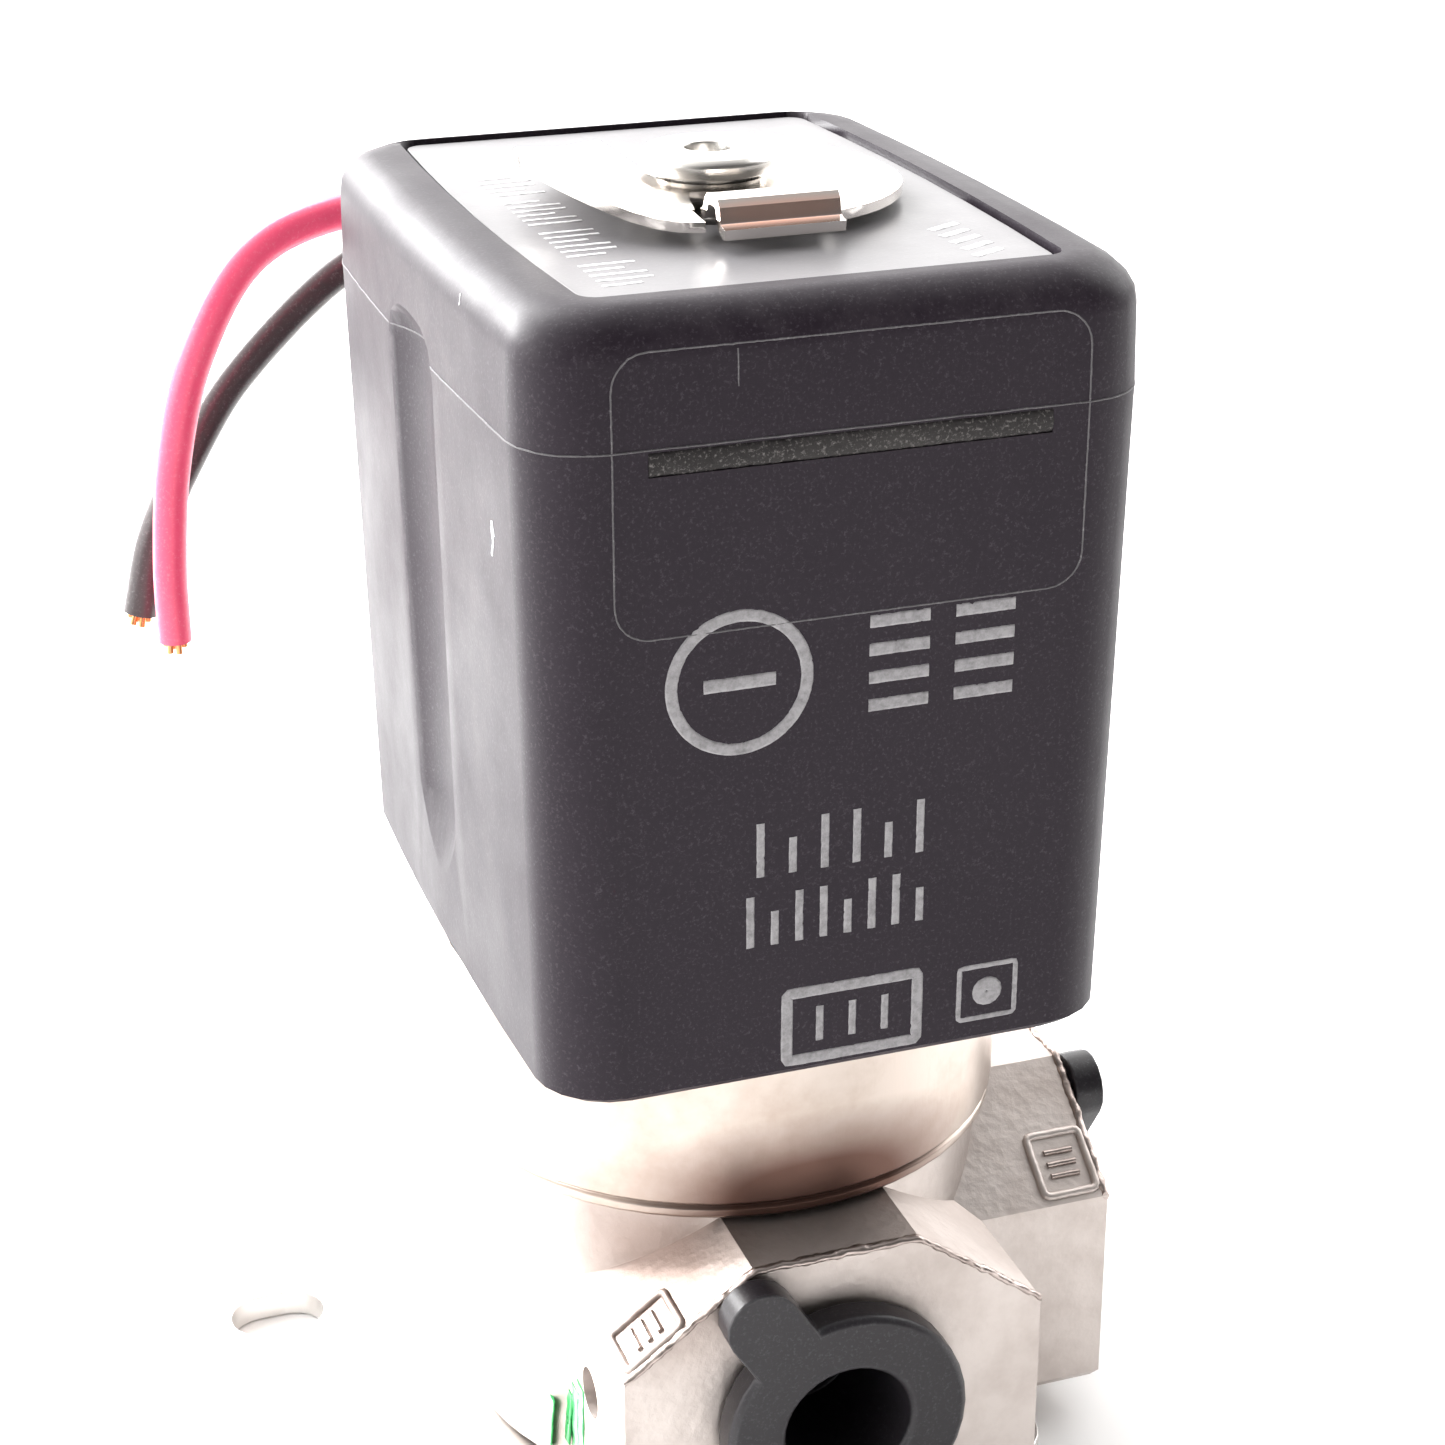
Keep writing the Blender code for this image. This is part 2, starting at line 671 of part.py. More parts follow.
# ---------------------------------------------------------------------------------------
# tube, core, armature and valve works
# ---------------------------------------------------------------------------------------
def build_tube_and_core():
    """The flanged stainless tube and the fixed core whose stem carries the clip."""
    flange_low = NECK_TOP + GAP
    flange_high = flange_low + 1.5
    tube = [
        (TUBE_INNER, flange_low), (8.8, flange_low), (9.0, flange_low + 0.2), (9.0, flange_high),
        (TUBE_OUTER + 0.5, flange_high), (TUBE_OUTER, flange_high + 0.5), (TUBE_OUTER, TUBE_TOP),
        (TUBE_INNER, TUBE_TOP),
    ]
    lathe("core_tube", tube, 40, True, material=STAINLESS, smooth=True, origin=(0, 0, flange_low))
    head_low = COIL_TOP + 1.4
    core = [
        (0.0, CORE_FACE), (PLUNGER_RADIUS - 0.3, CORE_FACE), (PLUNGER_RADIUS, CORE_FACE + 0.3),
        (PLUNGER_RADIUS, TUBE_TOP + GAP), (TUBE_OUTER, TUBE_TOP + GAP), (TUBE_OUTER, COIL_TOP - 0.1),
        (HEAD_RADIUS, COIL_TOP + 0.3), (NECK_RADIUS, COIL_TOP + 0.3), (NECK_RADIUS, head_low),
        (HEAD_RADIUS, head_low), (HEAD_RADIUS, HEAD_TOP - 0.3), (HEAD_RADIUS - 0.3, HEAD_TOP),
        (1.2, HEAD_TOP), (1.2, HEAD_TOP - 0.6), (0.0, HEAD_TOP - 0.9),
    ]
    lathe("fixed_core", core, 40, material=CORE_STEEL, smooth=True, origin=(0, 0, CORE_FACE))


SPRING_POCKET = 2.5
SPRING_POCKET_FLOOR = 41.0
SEAL_RADIUS = 3.2
SEAL_FACE = 21.3
SEAL_THICK = 1.5


def build_armature():
    """The sliding plunger, the rubber disc in its lower end and its return spring."""
    recess = SEAL_RADIUS + GAP
    recess_roof = SEAL_FACE + SEAL_THICK + GAP
    plunger = [
        (0.0, recess_roof), (recess, recess_roof), (recess, ARMATURE_BASE),
        (PLUNGER_RADIUS - 0.2, ARMATURE_BASE), (PLUNGER_RADIUS, ARMATURE_BASE + 0.2),
        (PLUNGER_RADIUS, ARMATURE_TOP - 0.3), (PLUNGER_RADIUS - 0.3, ARMATURE_TOP),
        (SPRING_POCKET, ARMATURE_TOP), (SPRING_POCKET, SPRING_POCKET_FLOOR),
        (0.0, SPRING_POCKET_FLOOR),
    ]
    lathe("armature", plunger, 32, material=CORE_STEEL, smooth=True, origin=(0, 0, ARMATURE_BASE))
    disc = [
        (0.0, SEAL_FACE), (SEAL_RADIUS - 0.2, SEAL_FACE), (SEAL_RADIUS, SEAL_FACE + 0.2),
        (SEAL_RADIUS, SEAL_FACE + SEAL_THICK), (0.0, SEAL_FACE + SEAL_THICK),
    ]
    lathe("armature_seal", disc, 32, material=SEAL_RUBBER, smooth=True, origin=(0, 0, SEAL_FACE))
    helix_spring("return_spring", 1.95, 0.25, SPRING_POCKET_FLOOR + GAP, CORE_FACE - GAP, 6.0, STAINLESS)


ROD_RADIUS = 0.9
POPPET_RADIUS = 3.2
POPPET_LOW = 10.5
POPPET_HIGH = 11.4
SEAT_RADIUS = VALVE_BORE - GAP
LOWER_LIP = 10.2
UPPER_LIP = 12.5


def build_valve_works():
    """The push rod, the double-faced poppet, its two seats and its spring."""
    rod_low = POPPET_HIGH + GAP
    rod_high = SEAL_FACE - GAP
    rod = [
        (0.0, rod_low), (ROD_RADIUS - 0.15, rod_low), (ROD_RADIUS, rod_low + 0.15),
        (ROD_RADIUS, rod_high - 0.15), (ROD_RADIUS - 0.15, rod_high), (0.0, rod_high),
    ]
    lathe("push_rod", rod, 16, material=STAINLESS, smooth=True, origin=(0, 0, rod_low))
    stem_low = 8.2
    poppet = [
        (0.0, stem_low), (0.7, stem_low), (0.9, stem_low + 0.2), (0.9, POPPET_LOW),
        (POPPET_RADIUS, POPPET_LOW), (POPPET_RADIUS, POPPET_HIGH), (0.0, POPPET_HIGH),
    ]
    lathe("poppet", poppet, 28, material=SEAL_RUBBER, smooth=True, origin=(0, 0, POPPET_LOW))
    lower = [
        (2.3, 8.8), (SEAT_RADIUS, 8.8), (SEAT_RADIUS, 9.7), (2.8, 9.7), (2.6, LOWER_LIP), (2.3, LOWER_LIP),
    ]
    lathe("lower_seat", lower, 28, True, material=STAINLESS, smooth=True, origin=(0, 0, 8.8))
    upper = [
        (1.7, UPPER_LIP), (2.0, UPPER_LIP), (2.2, 12.9), (SEAT_RADIUS, 12.9), (SEAT_RADIUS, 13.9), (1.7, 13.9),
    ]
    lathe("upper_seat", upper, 28, True, material=STAINLESS, smooth=True, origin=(0, 0, 12.9))
    helix_spring("poppet_spring", 1.6, 0.2, PLUG_POCKET_FLOOR + GAP, POPPET_LOW - GAP, 5.0, STAINLESS)


PLUG_POCKET_FLOOR = 3.7


def build_bottom_plug():
    """The screwed plug that closes the body from below, and its O-ring."""
    head = PLUG_BORE - GAP
    low = BODY_BASE + 0.3
    spigot = SEAT_RADIUS
    shape = [
        (0.0, low), (head - 0.3, low), (head, low + 0.3), (head, 4.5), (spigot, 4.5), (spigot, 5.8),
        (2.1, 5.8), (2.1, PLUG_POCKET_FLOOR), (0.0, PLUG_POCKET_FLOOR),
    ]
    plug = lathe("bottom_plug", shape, 36)
    socket = prism("socket", circle_points(2.3, 6), low - 1, low + 0.9)
    combine(plug, socket, "DIFFERENCE")
    settle(plug, COLLAR_METAL)
    move_origin(plug, (0.0, 0.0, low))
    o_ring("plug_o_ring", 5.1, 0.45, 5.25)


def o_ring(name, mean, section, height):
    """A rubber ring of round section lying level."""
    profile = [(mean + x, height + y) for x, y in circle_points(section, 8)]
    lathe(name, profile, 32, True, material=SEAL_RUBBER, smooth=True, origin=(0, 0, height))


def build_collar():
    """The turned collar that clamps the tube flange and carries the coil."""
    r = COLLAR_RADIUS
    groove = COLLAR_BASE + 0.75
    flange_roof = NECK_TOP + GAP + 1.5 + GAP
    bore = TUBE_OUTER + 0.5 + GAP
    shape = [
        (NECK_OUTER + GAP, COLLAR_BASE), (r - 0.35, COLLAR_BASE), (r - 0.1, COLLAR_BASE + 0.25),
        (r - 0.1, groove - 0.12), (r - 0.3, groove), (r - 0.3, groove + 0.12), (r, groove + 0.3),
        (r, COLLAR_TOP - 0.6), (r - 0.6, COLLAR_TOP), (bore, COLLAR_TOP),
        (bore, flange_roof), (9.4, flange_roof), (9.4, NECK_TOP + GAP), (NECK_OUTER + GAP, NECK_TOP + GAP),
    ]
    lathe("bonnet_collar", shape, 56, True, material=COLLAR_METAL, smooth=True, origin=(0, 0, COLLAR_BASE))
    o_ring("tube_o_ring", 7.5, 0.55, NECK_TOP - 0.6)


def boss_outline():
    """Return the port boss's outline across its axis: sloped upper corners, eased lower ones."""
    half = BOSS_HALF_WIDTH
    ease = 1.0
    low = BODY_BASE
    return [
        (-half + ease, low), (half - ease, low), (half, low + ease), (half, SHOULDER_Z - BOSS_CHAMFER_DROP),
        (BOSS_FLAT_HALF, SHOULDER_Z), (-BOSS_FLAT_HALF, SHOULDER_Z),
        (-half, SHOULDER_Z - BOSS_CHAMFER_DROP), (-half, low + ease),
    ]


PORTS = {
    "front": ((0, -1, 0), 11.2, 1.15),
    "right": ((1, 0, 0), 14.5, 1.0),
    "back": ((0, 1, 0), 7.4, 1.25),
}


def build_body():
    """The cast body: a round trunk, three chamfered port bosses, bores and cross drillings."""
    trunk = [
        (0.0, BODY_BASE), (BODY_RADIUS - 0.6, BODY_BASE), (BODY_RADIUS, BODY_BASE + 0.6),
        (BODY_RADIUS, SHOULDER_Z - 0.01), (NECK_OUTER, SHOULDER_Z - 0.01), (NECK_OUTER, NECK_TOP),
        (0.0, NECK_TOP),
    ]
    body = lathe("valve_body", trunk, 64)
    for name, (direction, level, radius) in PORTS.items():
        boss = prism(name + "_boss", [(x, z - PORT_Z) for x, z in boss_outline()], 2.0, BOSS_REACH)
        turn_into_place(boss, direction, (0.0, 0.0, PORT_Z))
        combine(body, boss, "UNION")
    for name, (direction, level, radius) in PORTS.items():
        bore = lathe(name + "_bore", [
            (0.0, PORT_FLOOR - 1.2), (PORT_RADIUS, PORT_FLOOR), (PORT_RADIUS, BOSS_REACH - 0.5),
            (PORT_RADIUS + 0.5, BOSS_REACH + 0.01), (PORT_RADIUS + 0.5, BOSS_REACH + 1), (0.0, BOSS_REACH + 1),
        ], 36)
        turn_into_place(bore, direction, (0.0, 0.0, PORT_Z))
        combine(body, bore, "DIFFERENCE")
    well = lathe("well", [
        (0.0, BODY_BASE - 1), (PLUG_BORE, BODY_BASE - 1), (PLUG_BORE, PLUG_BORE_TOP), (VALVE_BORE, PLUG_BORE_TOP),
        (VALVE_BORE, VALVE_BORE_TOP), (TUBE_INNER + 0.2, VALVE_BORE_TOP + 0.5), (TUBE_INNER + 0.2, NECK_TOP + 1),
        (0.0, NECK_TOP + 1),
    ], 40)
    combine(body, well, "DIFFERENCE")
    for name, (direction, level, radius) in PORTS.items():
        drilling = prism(name + "_drilling", circle_points(radius, 16, 0.1), 2.5, PORT_FLOOR + 0.6)
        turn_into_place(drilling, direction, (0.0, 0.0, level))
        combine(body, drilling, "DIFFERENCE")
    ring_seat = lathe("ring_seat", [(6.6, NECK_TOP - 1.3), (8.4, NECK_TOP - 1.3), (8.4, NECK_TOP + 1), (6.6, NECK_TOP + 1)],
                      40, True)
    combine(body, ring_seat, "DIFFERENCE")
    for side in (-1, 1):
        spot = side * SCREW_SPOT
        hole = prism("screw_hole", [(x + spot, y + spot) for x, y in circle_points(1.5, 18)], BODY_BASE - 1, 9.0)
        combine(body, hole, "DIFFERENCE")
    side_hole = prism("side_hole", circle_points(1.4, 20), BOSS_HALF_WIDTH - 3.6, BOSS_HALF_WIDTH + 1)
    turn_into_place(side_hole, (-1, 0, 0), (0.0, -13.0, PORT_Z - 0.6))
    combine(body, side_hole, "DIFFERENCE")
    settle(body, CAST_METAL)
    move_origin(body, (0.0, 0.0, BODY_BASE))


# ---------------------------------------------------------------------------------------
# dust plugs, bracket and screws
# ---------------------------------------------------------------------------------------
def build_dust_plug(name, direction):
    """A push-in cap: a thin cup in the port, a flange on the boss face and a grip ear."""
    cup = 3.45
    flange = 6.6
    face = BOSS_REACH + GAP
    front = face + 1.7
    depth = 12.8
    shape = [
        (0.0, depth), (3.5, depth), (3.85, depth + 0.5), (4.0, face), (flange, face),
        (flange, front - 0.3), (flange - 0.3, front), (cup + 0.25, front), (cup, front - 0.25),
        (cup - 0.15, depth + 0.9), (0.0, depth + 0.9),
    ]
    plug = lathe(name, shape, 36)
    reach = 8.6
    half = 1.95
    outline = [(-half, 5.4), (half, 5.4)]
    for i in range(9):
        angle = math.pi * i / 8
        outline.append((half * math.cos(angle), reach + half * math.sin(angle)))
    lean = math.radians(33.0)
    turned = [(x * math.cos(lean) - y * math.sin(lean), x * math.sin(lean) + y * math.cos(lean)) for x, y in outline]
    ear = prism("ear", turned, face, front)
    combine(plug, ear, "UNION")
    turn_into_place(plug, direction, (0.0, 0.0, PORT_Z))
    settle(plug, CAP_PLASTIC)


SLOT_X = -23.8
SLOT_Y = 11.7
SLOT_HALF_LENGTH = 2.75
SLOT_HALF_WIDTH = 2.0


def build_bracket():
    """The flat foot bracket with two slots in its left wing and two countersunk screws."""
    left = -29.0
    right = 14.6
    centre = (left + right) / 2
    outline = [(x + centre, y) for x, y in rounded_outline((right - left) / 2, 15.8, 3.0, 6)]
    bracket = prism("mounting_bracket", outline, 0.0, BRACKET_THICK)
    for side in (-1, 1):
        slot_shape = rounded_outline(SLOT_HALF_LENGTH, SLOT_HALF_WIDTH, SLOT_HALF_WIDTH - 0.01, 6)
        slot = prism("slot", [(x + SLOT_X, y + side * SLOT_Y) for x, y in slot_shape], -1, BRACKET_THICK + 1)
        combine(bracket, slot, "DIFFERENCE")
        spot = side * SCREW_SPOT
        sink = lathe("sink", [(0.0, -0.2), (3.1, -0.2), (1.5, BRACKET_THICK - 0.2), (1.5, 3.0), (0.0, 3.0)], 24)
        sink.location = Vector((spot, spot, 0.0)) * MM
        combine(bracket, sink, "DIFFERENCE")
    settle(bracket, ZINC)


def build_bracket_screw(name, spot):
    """A countersunk screw with a hexagon socket, put in from below."""
    head_low = 0.25
    shape = [
        (0.0, head_low), (2.3, head_low), (1.2, 1.5), (1.2, 7.8), (0.9, 8.2), (0.0, 8.2),
    ]
    screw = lathe(name, shape, 24)
    socket = prism("socket", circle_points(1.0, 6), -1, head_low + 0.7)
    combine(screw, socket, "DIFFERENCE")
    settle(screw, ZINC)
    screw.location = Vector((spot, spot, 0.0)) * MM


def main():
    """Build every piece."""
    clear_scene()
    build_housing()
    build_name_plate()
    build_windings()
    build_magnet_frame()
    build_grommet()
    build_leads()
    build_clip()
    build_tube_and_core()
    build_armature()
    build_valve_works()
    build_bottom_plug()
    build_collar()
    build_body()
    for name, (direction, _level, _radius) in PORTS.items():
        build_dust_plug("dust_plug_" + name, direction)
    build_bracket()
    build_bracket_screw("bracket_screw_front", -SCREW_SPOT)
    build_bracket_screw("bracket_screw_back", SCREW_SPOT)


main()
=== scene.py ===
"""The finished look of a small three-port solenoid valve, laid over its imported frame.

Everything is in metres with +Z up. The coil's axis is the Z axis, z = 0 is the face that the
foot bracket stands on, and the front port looks along -Y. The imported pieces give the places;
this file gives each one its shading, its fine shapes and its finish.
"""

import logging
import math
from dataclasses import dataclass
from enum import Enum

import bmesh
import bpy
from mathutils import Matrix, Vector
from mathutils.bvhtree import BVHTree


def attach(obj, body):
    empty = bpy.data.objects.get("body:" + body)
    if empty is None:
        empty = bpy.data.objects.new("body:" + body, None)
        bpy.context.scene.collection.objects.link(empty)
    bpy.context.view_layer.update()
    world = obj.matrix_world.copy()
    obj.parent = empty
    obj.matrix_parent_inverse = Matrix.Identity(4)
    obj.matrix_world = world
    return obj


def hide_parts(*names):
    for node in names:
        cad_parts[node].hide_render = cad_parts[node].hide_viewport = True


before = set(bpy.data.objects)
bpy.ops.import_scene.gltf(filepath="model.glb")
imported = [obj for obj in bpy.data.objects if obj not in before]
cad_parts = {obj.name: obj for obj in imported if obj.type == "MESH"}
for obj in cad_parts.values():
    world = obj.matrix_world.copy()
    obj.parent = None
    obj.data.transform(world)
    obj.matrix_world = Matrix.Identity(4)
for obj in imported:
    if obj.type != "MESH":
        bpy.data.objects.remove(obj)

MM = 0.001
LOG = logging.getLogger("solenoid_valve")

Pair = tuple[float, float]
Triple = tuple[float, float, float]
Line = list[Pair]
Socket = bpy.types.NodeSocket

# Heights and reaches that more than one sub-assembly needs, in metres.
PARTING_HEIGHT = 63.8 * MM
PORT_HEIGHT = 10.5 * MM
BOSS_REACH = 19.2 * MM

# How far off the axis a line starts that is cast onto a wall, in metres.
OUTSIDE = 30.0 * MM
UPWARD = (0.0, 0.0, 1.0)


# ---------------------------------------------------------------------------------------
# Finishes
# ---------------------------------------------------------------------------------------
class Grain(Enum):
    """Which way the fine marks of a metal surface run."""

    CAST = "cast"
    TURNED = "turned"
    ROLLED = "rolled"
    BRUSHED = "brushed"
    POLISHED = "polished"


class Recipe:
    """A material's node tree, opened for adding nodes to."""

    def __init__(self, name: str) -> None:
        """Start a material with its shader and its object coordinates.

        Args:
            name: the material's name.
        """
        self.material = bpy.data.materials.new(name)
        self.material.use_nodes = True
        self.nodes = self.material.node_tree.nodes
        self.links = self.material.node_tree.links
        self.shader = self.nodes["Principled BSDF"]
        self.place = self.nodes.new("ShaderNodeTexCoord").outputs["Object"]

    def stretched(self, factors: Triple) -> Socket:
        """Return object coordinates scaled differently along each axis.

        Args:
            factors: the scale along X, Y and Z.

        Returns:
            The scaled coordinates.
        """
        mapping = self.nodes.new("ShaderNodeMapping")
        mapping.inputs["Scale"].default_value = factors
        self.links.new(self.place, mapping.inputs["Vector"])
        return mapping.outputs["Vector"]

    def grain(
        self,
        scale: float,
        detail: float = 3.0,
        rough: float = 0.55,
        factors: Triple = (1.0, 1.0, 1.0),
    ) -> Socket:
        """Add a cloudy noise that is fixed to the piece.

        Args:
            scale: how many grains to a metre.
            detail: how many finer layers are added.
            rough: how strong the finer layers are.
            factors: the stretch of the grain along each axis.

        Returns:
            The noise value, from 0 to 1.
        """
        node = self.nodes.new("ShaderNodeTexNoise")
        node.inputs["Scale"].default_value = scale
        node.inputs["Detail"].default_value = detail
        node.inputs["Roughness"].default_value = rough
        self.links.new(self.stretched(factors), node.inputs["Vector"])
        return node.outputs["Fac"]

    def pits(self, scale: float) -> Socket:
        """Add a cell pattern of small rounded pits.

        Args:
            scale: how many pits to a metre.

        Returns:
            The distance from the middle of each pit.
        """
        node = self.nodes.new("ShaderNodeTexVoronoi")
        node.inputs["Scale"].default_value = scale
        self.links.new(self.place, node.inputs["Vector"])
        return node.outputs["Distance"]

    def spread(
        self, value: Socket, low: float, high: float, to_low: float = 0.0, to_high: float = 1.0
    ) -> Socket:
        """Map a value's range onto another range, holding the ends.

        Args:
            value: the value that is mapped.
            low: the value that gives to_low.
            high: the value that gives to_high.
            to_low: the result at low.
            to_high: the result at high.

        Returns:
            The mapped value.
        """
        node = self.nodes.new("ShaderNodeMapRange")
        node.inputs["From Min"].default_value = low
        node.inputs["From Max"].default_value = high
        node.inputs["To Min"].default_value = to_low
        node.inputs["To Max"].default_value = to_high
        self.links.new(value, node.inputs["Value"])
        return node.outputs["Result"]

    def product(self, first: Socket, second: Socket) -> Socket:
        """Return two values multiplied together.

        Args:
            first: one value.
            second: the other value.

        Returns:
            Their product.
        """
        node = self.nodes.new("ShaderNodeMath")
        node.operation = "MULTIPLY"
        self.links.new(first, node.inputs[0])
        self.links.new(second, node.inputs[1])
        return node.outputs["Value"]

    def blot(self, centre: Triple, reach: Triple) -> Socket:
        """Add a soft-edged blot at one place on the piece.

        Args:
            centre: the middle of the blot, in metres.
            reach: how far it reaches along each axis, in metres.

        Returns:
            1 in the middle of the blot, falling to 0 at its edge.
        """
        mapping = self.nodes.new("ShaderNodeMapping")
        mapping.inputs["Location"].default_value = [-c / r for c, r in zip(centre, reach)]
        mapping.inputs["Scale"].default_value = [1.0 / r for r in reach]
        self.links.new(self.place, mapping.inputs["Vector"])
        ball = self.nodes.new("ShaderNodeTexGradient")
        ball.gradient_type = "SPHERICAL"
        self.links.new(mapping.outputs["Vector"], ball.inputs["Vector"])
        return self.spread(ball.outputs["Fac"], 0.0, 0.62)

    def wear(self) -> Socket:
        """Return how exposed an edge is, from the attribute that carried pieces hold."""
        node = self.nodes.new("ShaderNodeAttribute")
        node.attribute_name = "wear"
        return node.outputs["Fac"]

    def blend_colour(
        self,
        factor: Socket,
        low: Triple | Socket,
        high: Triple,
    ) -> Socket:
        """Mix two colours.

        Args:
            factor: 0 for the low colour, 1 for the high one.
            low: a colour, or a socket that gives one.
            high: the other colour.

        Returns:
            The mixed colour.
        """
        node = self.nodes.new("ShaderNodeMix")
        node.data_type = "RGBA"
        self.links.new(factor, node.inputs["Factor"])
        if isinstance(low, tuple):
            node.inputs[6].default_value = (*low, 1.0)
        else:
            self.links.new(low, node.inputs[6])
        node.inputs[7].default_value = (*high, 1.0)
        return node.outputs[2]

    def relief(self, height: Socket, depth: float, below: Socket | None = None) -> Socket:
        """Turn a height value into a bumped surface direction.

        Args:
            height: the height, from 0 to 1.
            depth: how far 1 stands above 0, in metres.
            below: another relief that this one lies on.

        Returns:
            The bumped surface direction.
        """
        node = self.nodes.new("ShaderNodeBump")
        node.inputs["Strength"].default_value = 1.0
        node.inputs["Distance"].default_value = depth
        self.links.new(height, node.inputs["Height"])
        if below is not None:
            self.links.new(below, node.inputs["Normal"])
        return node.outputs["Normal"]

    def finished(
        self,
        colour: Socket,
        roughness: Socket,
        normal: Socket,
        **fixed: float,
    ) -> bpy.types.Material:
        """Join the last sockets to the shader and return the material.

        Args:
            colour: the base colour.
            roughness: the roughness.
            normal: the surface direction.
            **fixed: shader sockets that are the same all over, with underscores for spaces.

        Returns:
            The finished material.
        """
        self.links.new(colour, self.shader.inputs["Base Color"])
        self.links.new(roughness, self.shader.inputs["Roughness"])
        self.links.new(normal, self.shader.inputs["Normal"])
        for name, value in fixed.items():
            self.shader.inputs[name.replace("_", " ")].default_value = value
        return self.material


@dataclass(frozen=True)
class Moulding:
    """A moulded plastic or rubber: fine speckle, soft mottling and paler rubbed edges."""

    name: str
    colour: Triple
    rubbed: Triple
    speck: Triple
    roughness: float = 0.45
    mottling: float = 0.25
    speck_share: float = 0.35
    texture_depth: float = 0.006 * MM
    gloss: float = 0.5

    def material(self) -> bpy.types.Material:
        """Build the material."""
        recipe = Recipe(self.name)
        clouds = recipe.grain(130.0, 4.0, 0.6)
        fine = recipe.grain(5200.0, 2.0, 0.6)
        dust = recipe.spread(recipe.grain(5600.0, 3.0, 0.75), 0.54, 0.72, 0.0, self.speck_share)
        cloudy = recipe.spread(clouds, 0.3, 0.75, 0.0, self.mottling)
        soft = tuple(0.55 * low + 0.45 * high for low, high in zip(self.colour, self.rubbed))
        colour = recipe.blend_colour(cloudy, self.colour, soft)
        colour = recipe.blend_colour(dust, colour, self.speck)
        scuffs = recipe.spread(recipe.grain(420.0, 5.0, 0.7), 0.42, 0.72, 0.05, 0.8)
        colour = recipe.blend_colour(recipe.product(recipe.wear(), scuffs), colour, self.rubbed)
        roughness = recipe.spread(clouds, 0.25, 0.8, self.roughness - 0.07, self.roughness + 0.09)
        normal = recipe.relief(fine, self.texture_depth)
        normal = recipe.relief(recipe.grain(900.0, 2.0), self.texture_depth * 1.2, normal)
        return recipe.finished(colour, roughness, normal, IOR=1.47, Specular_IOR_Level=self.gloss)


@dataclass(frozen=True)
class PaintedLightPatch:
    """A soft patch of painted light at one place on a metal piece: painted shadow on the body, painted
    reflections on the collar and the clip's tab.
    """

    centre: Triple
    reach: Triple
    colour: Triple


@dataclass(frozen=True)
class Metal:
    """A bare or plated metal, with the marks of how it was made, and on some pieces a soft patch of painted
    light.
    """

    name: str
    colour: Triple
    stain: Triple
    grain: Grain
    roughness: float = 0.3
    stain_share: float = 0.4
    texture_depth: float = 0.004 * MM
    # painted light: when set, a soft patch that paints shadow on the body and reflections on the collar and
    # the clip's tab
    painted_light: PaintedLightPatch | None = None

    def material(self) -> bpy.types.Material:
        """Build the material."""
        recipe = Recipe(self.name)
        clouds = recipe.grain(180.0, 5.0, 0.65)
        patches = recipe.spread(clouds, 0.42, 0.75, 0.0, self.stain_share)
        colour = recipe.blend_colour(patches, self.colour, self.stain)
        bright = tuple(min(1.0, 1.12 * part) for part in self.colour)
        colour = recipe.blend_colour(recipe.spread(recipe.wear(), 0.1, 1.0, 0.0, 0.7), colour, bright)
        # painted light: mix in the patch's colour, a painted shadow on the body and painted reflections on
        # the collar and the clip's tab
        if self.painted_light is not None:
            colour = recipe.blend_colour(
                recipe.blot(self.painted_light.centre, self.painted_light.reach), colour, self.painted_light.colour
            )
        roughness = recipe.spread(clouds, 0.3, 0.75, self.roughness - 0.06, self.roughness + 0.1)
        normal = self.marks(recipe)
        return recipe.finished(colour, roughness, normal, Metallic=1.0)

    def marks(self, recipe: Recipe) -> Socket:
        """Return the relief of the marks that the making left.

        Args:
            recipe: the material that is being built.

        Returns:
            The bumped surface direction.
        """
        if self.grain is Grain.CAST:
            lumps = recipe.relief(recipe.pits(1500.0), self.texture_depth * 1.6)
            return recipe.relief(recipe.grain(2600.0, 4.0, 0.6), self.texture_depth * 2.0, lumps)
        if self.grain is Grain.TURNED:
            rings = recipe.relief(recipe.grain(700.0, 3.0, 0.7, (0.12, 0.12, 14.0)), self.texture_depth)
            return recipe.relief(recipe.grain(3200.0, 2.0), self.texture_depth * 0.4, rings)
        if self.grain is Grain.ROLLED:
            lines = recipe.relief(recipe.grain(500.0, 4.0, 0.7, (1.0, 16.0, 1.0)), self.texture_depth)
            return recipe.relief(recipe.grain(2400.0, 2.0), self.texture_depth * 0.5, lines)
        if self.grain is Grain.BRUSHED:
            lines = recipe.relief(recipe.grain(2200.0, 4.0, 0.7, (1.0, 1.0, 0.12)), self.texture_depth)
            return recipe.relief(recipe.grain(1500.0, 4.0, 0.7), self.texture_depth, lines)
        return recipe.relief(recipe.grain(300.0, 3.0, 0.5), self.texture_depth)


@dataclass(frozen=True)
class Ink:
    """A thin printed or painted coat, a little uneven and worn through in specks."""

    name: str
    colour: Triple
    worn: Triple
    roughness: float = 0.6
    wear_scale: float = 2200.0

    def material(self) -> bpy.types.Material:
        """Build the material."""
        recipe = Recipe(self.name)
        flecks = recipe.spread(recipe.grain(self.wear_scale, 4.0, 0.75), 0.4, 0.7, 0.0, 0.75)
        colour = recipe.blend_colour(flecks, self.colour, self.worn)
        roughness = recipe.spread(recipe.grain(600.0), 0.3, 0.7, self.roughness - 0.1, self.roughness + 0.1)
        return recipe.finished(colour, roughness, recipe.relief(recipe.grain(5000.0, 2.0), 0.004 * MM))


Finish = Moulding | Metal | Ink

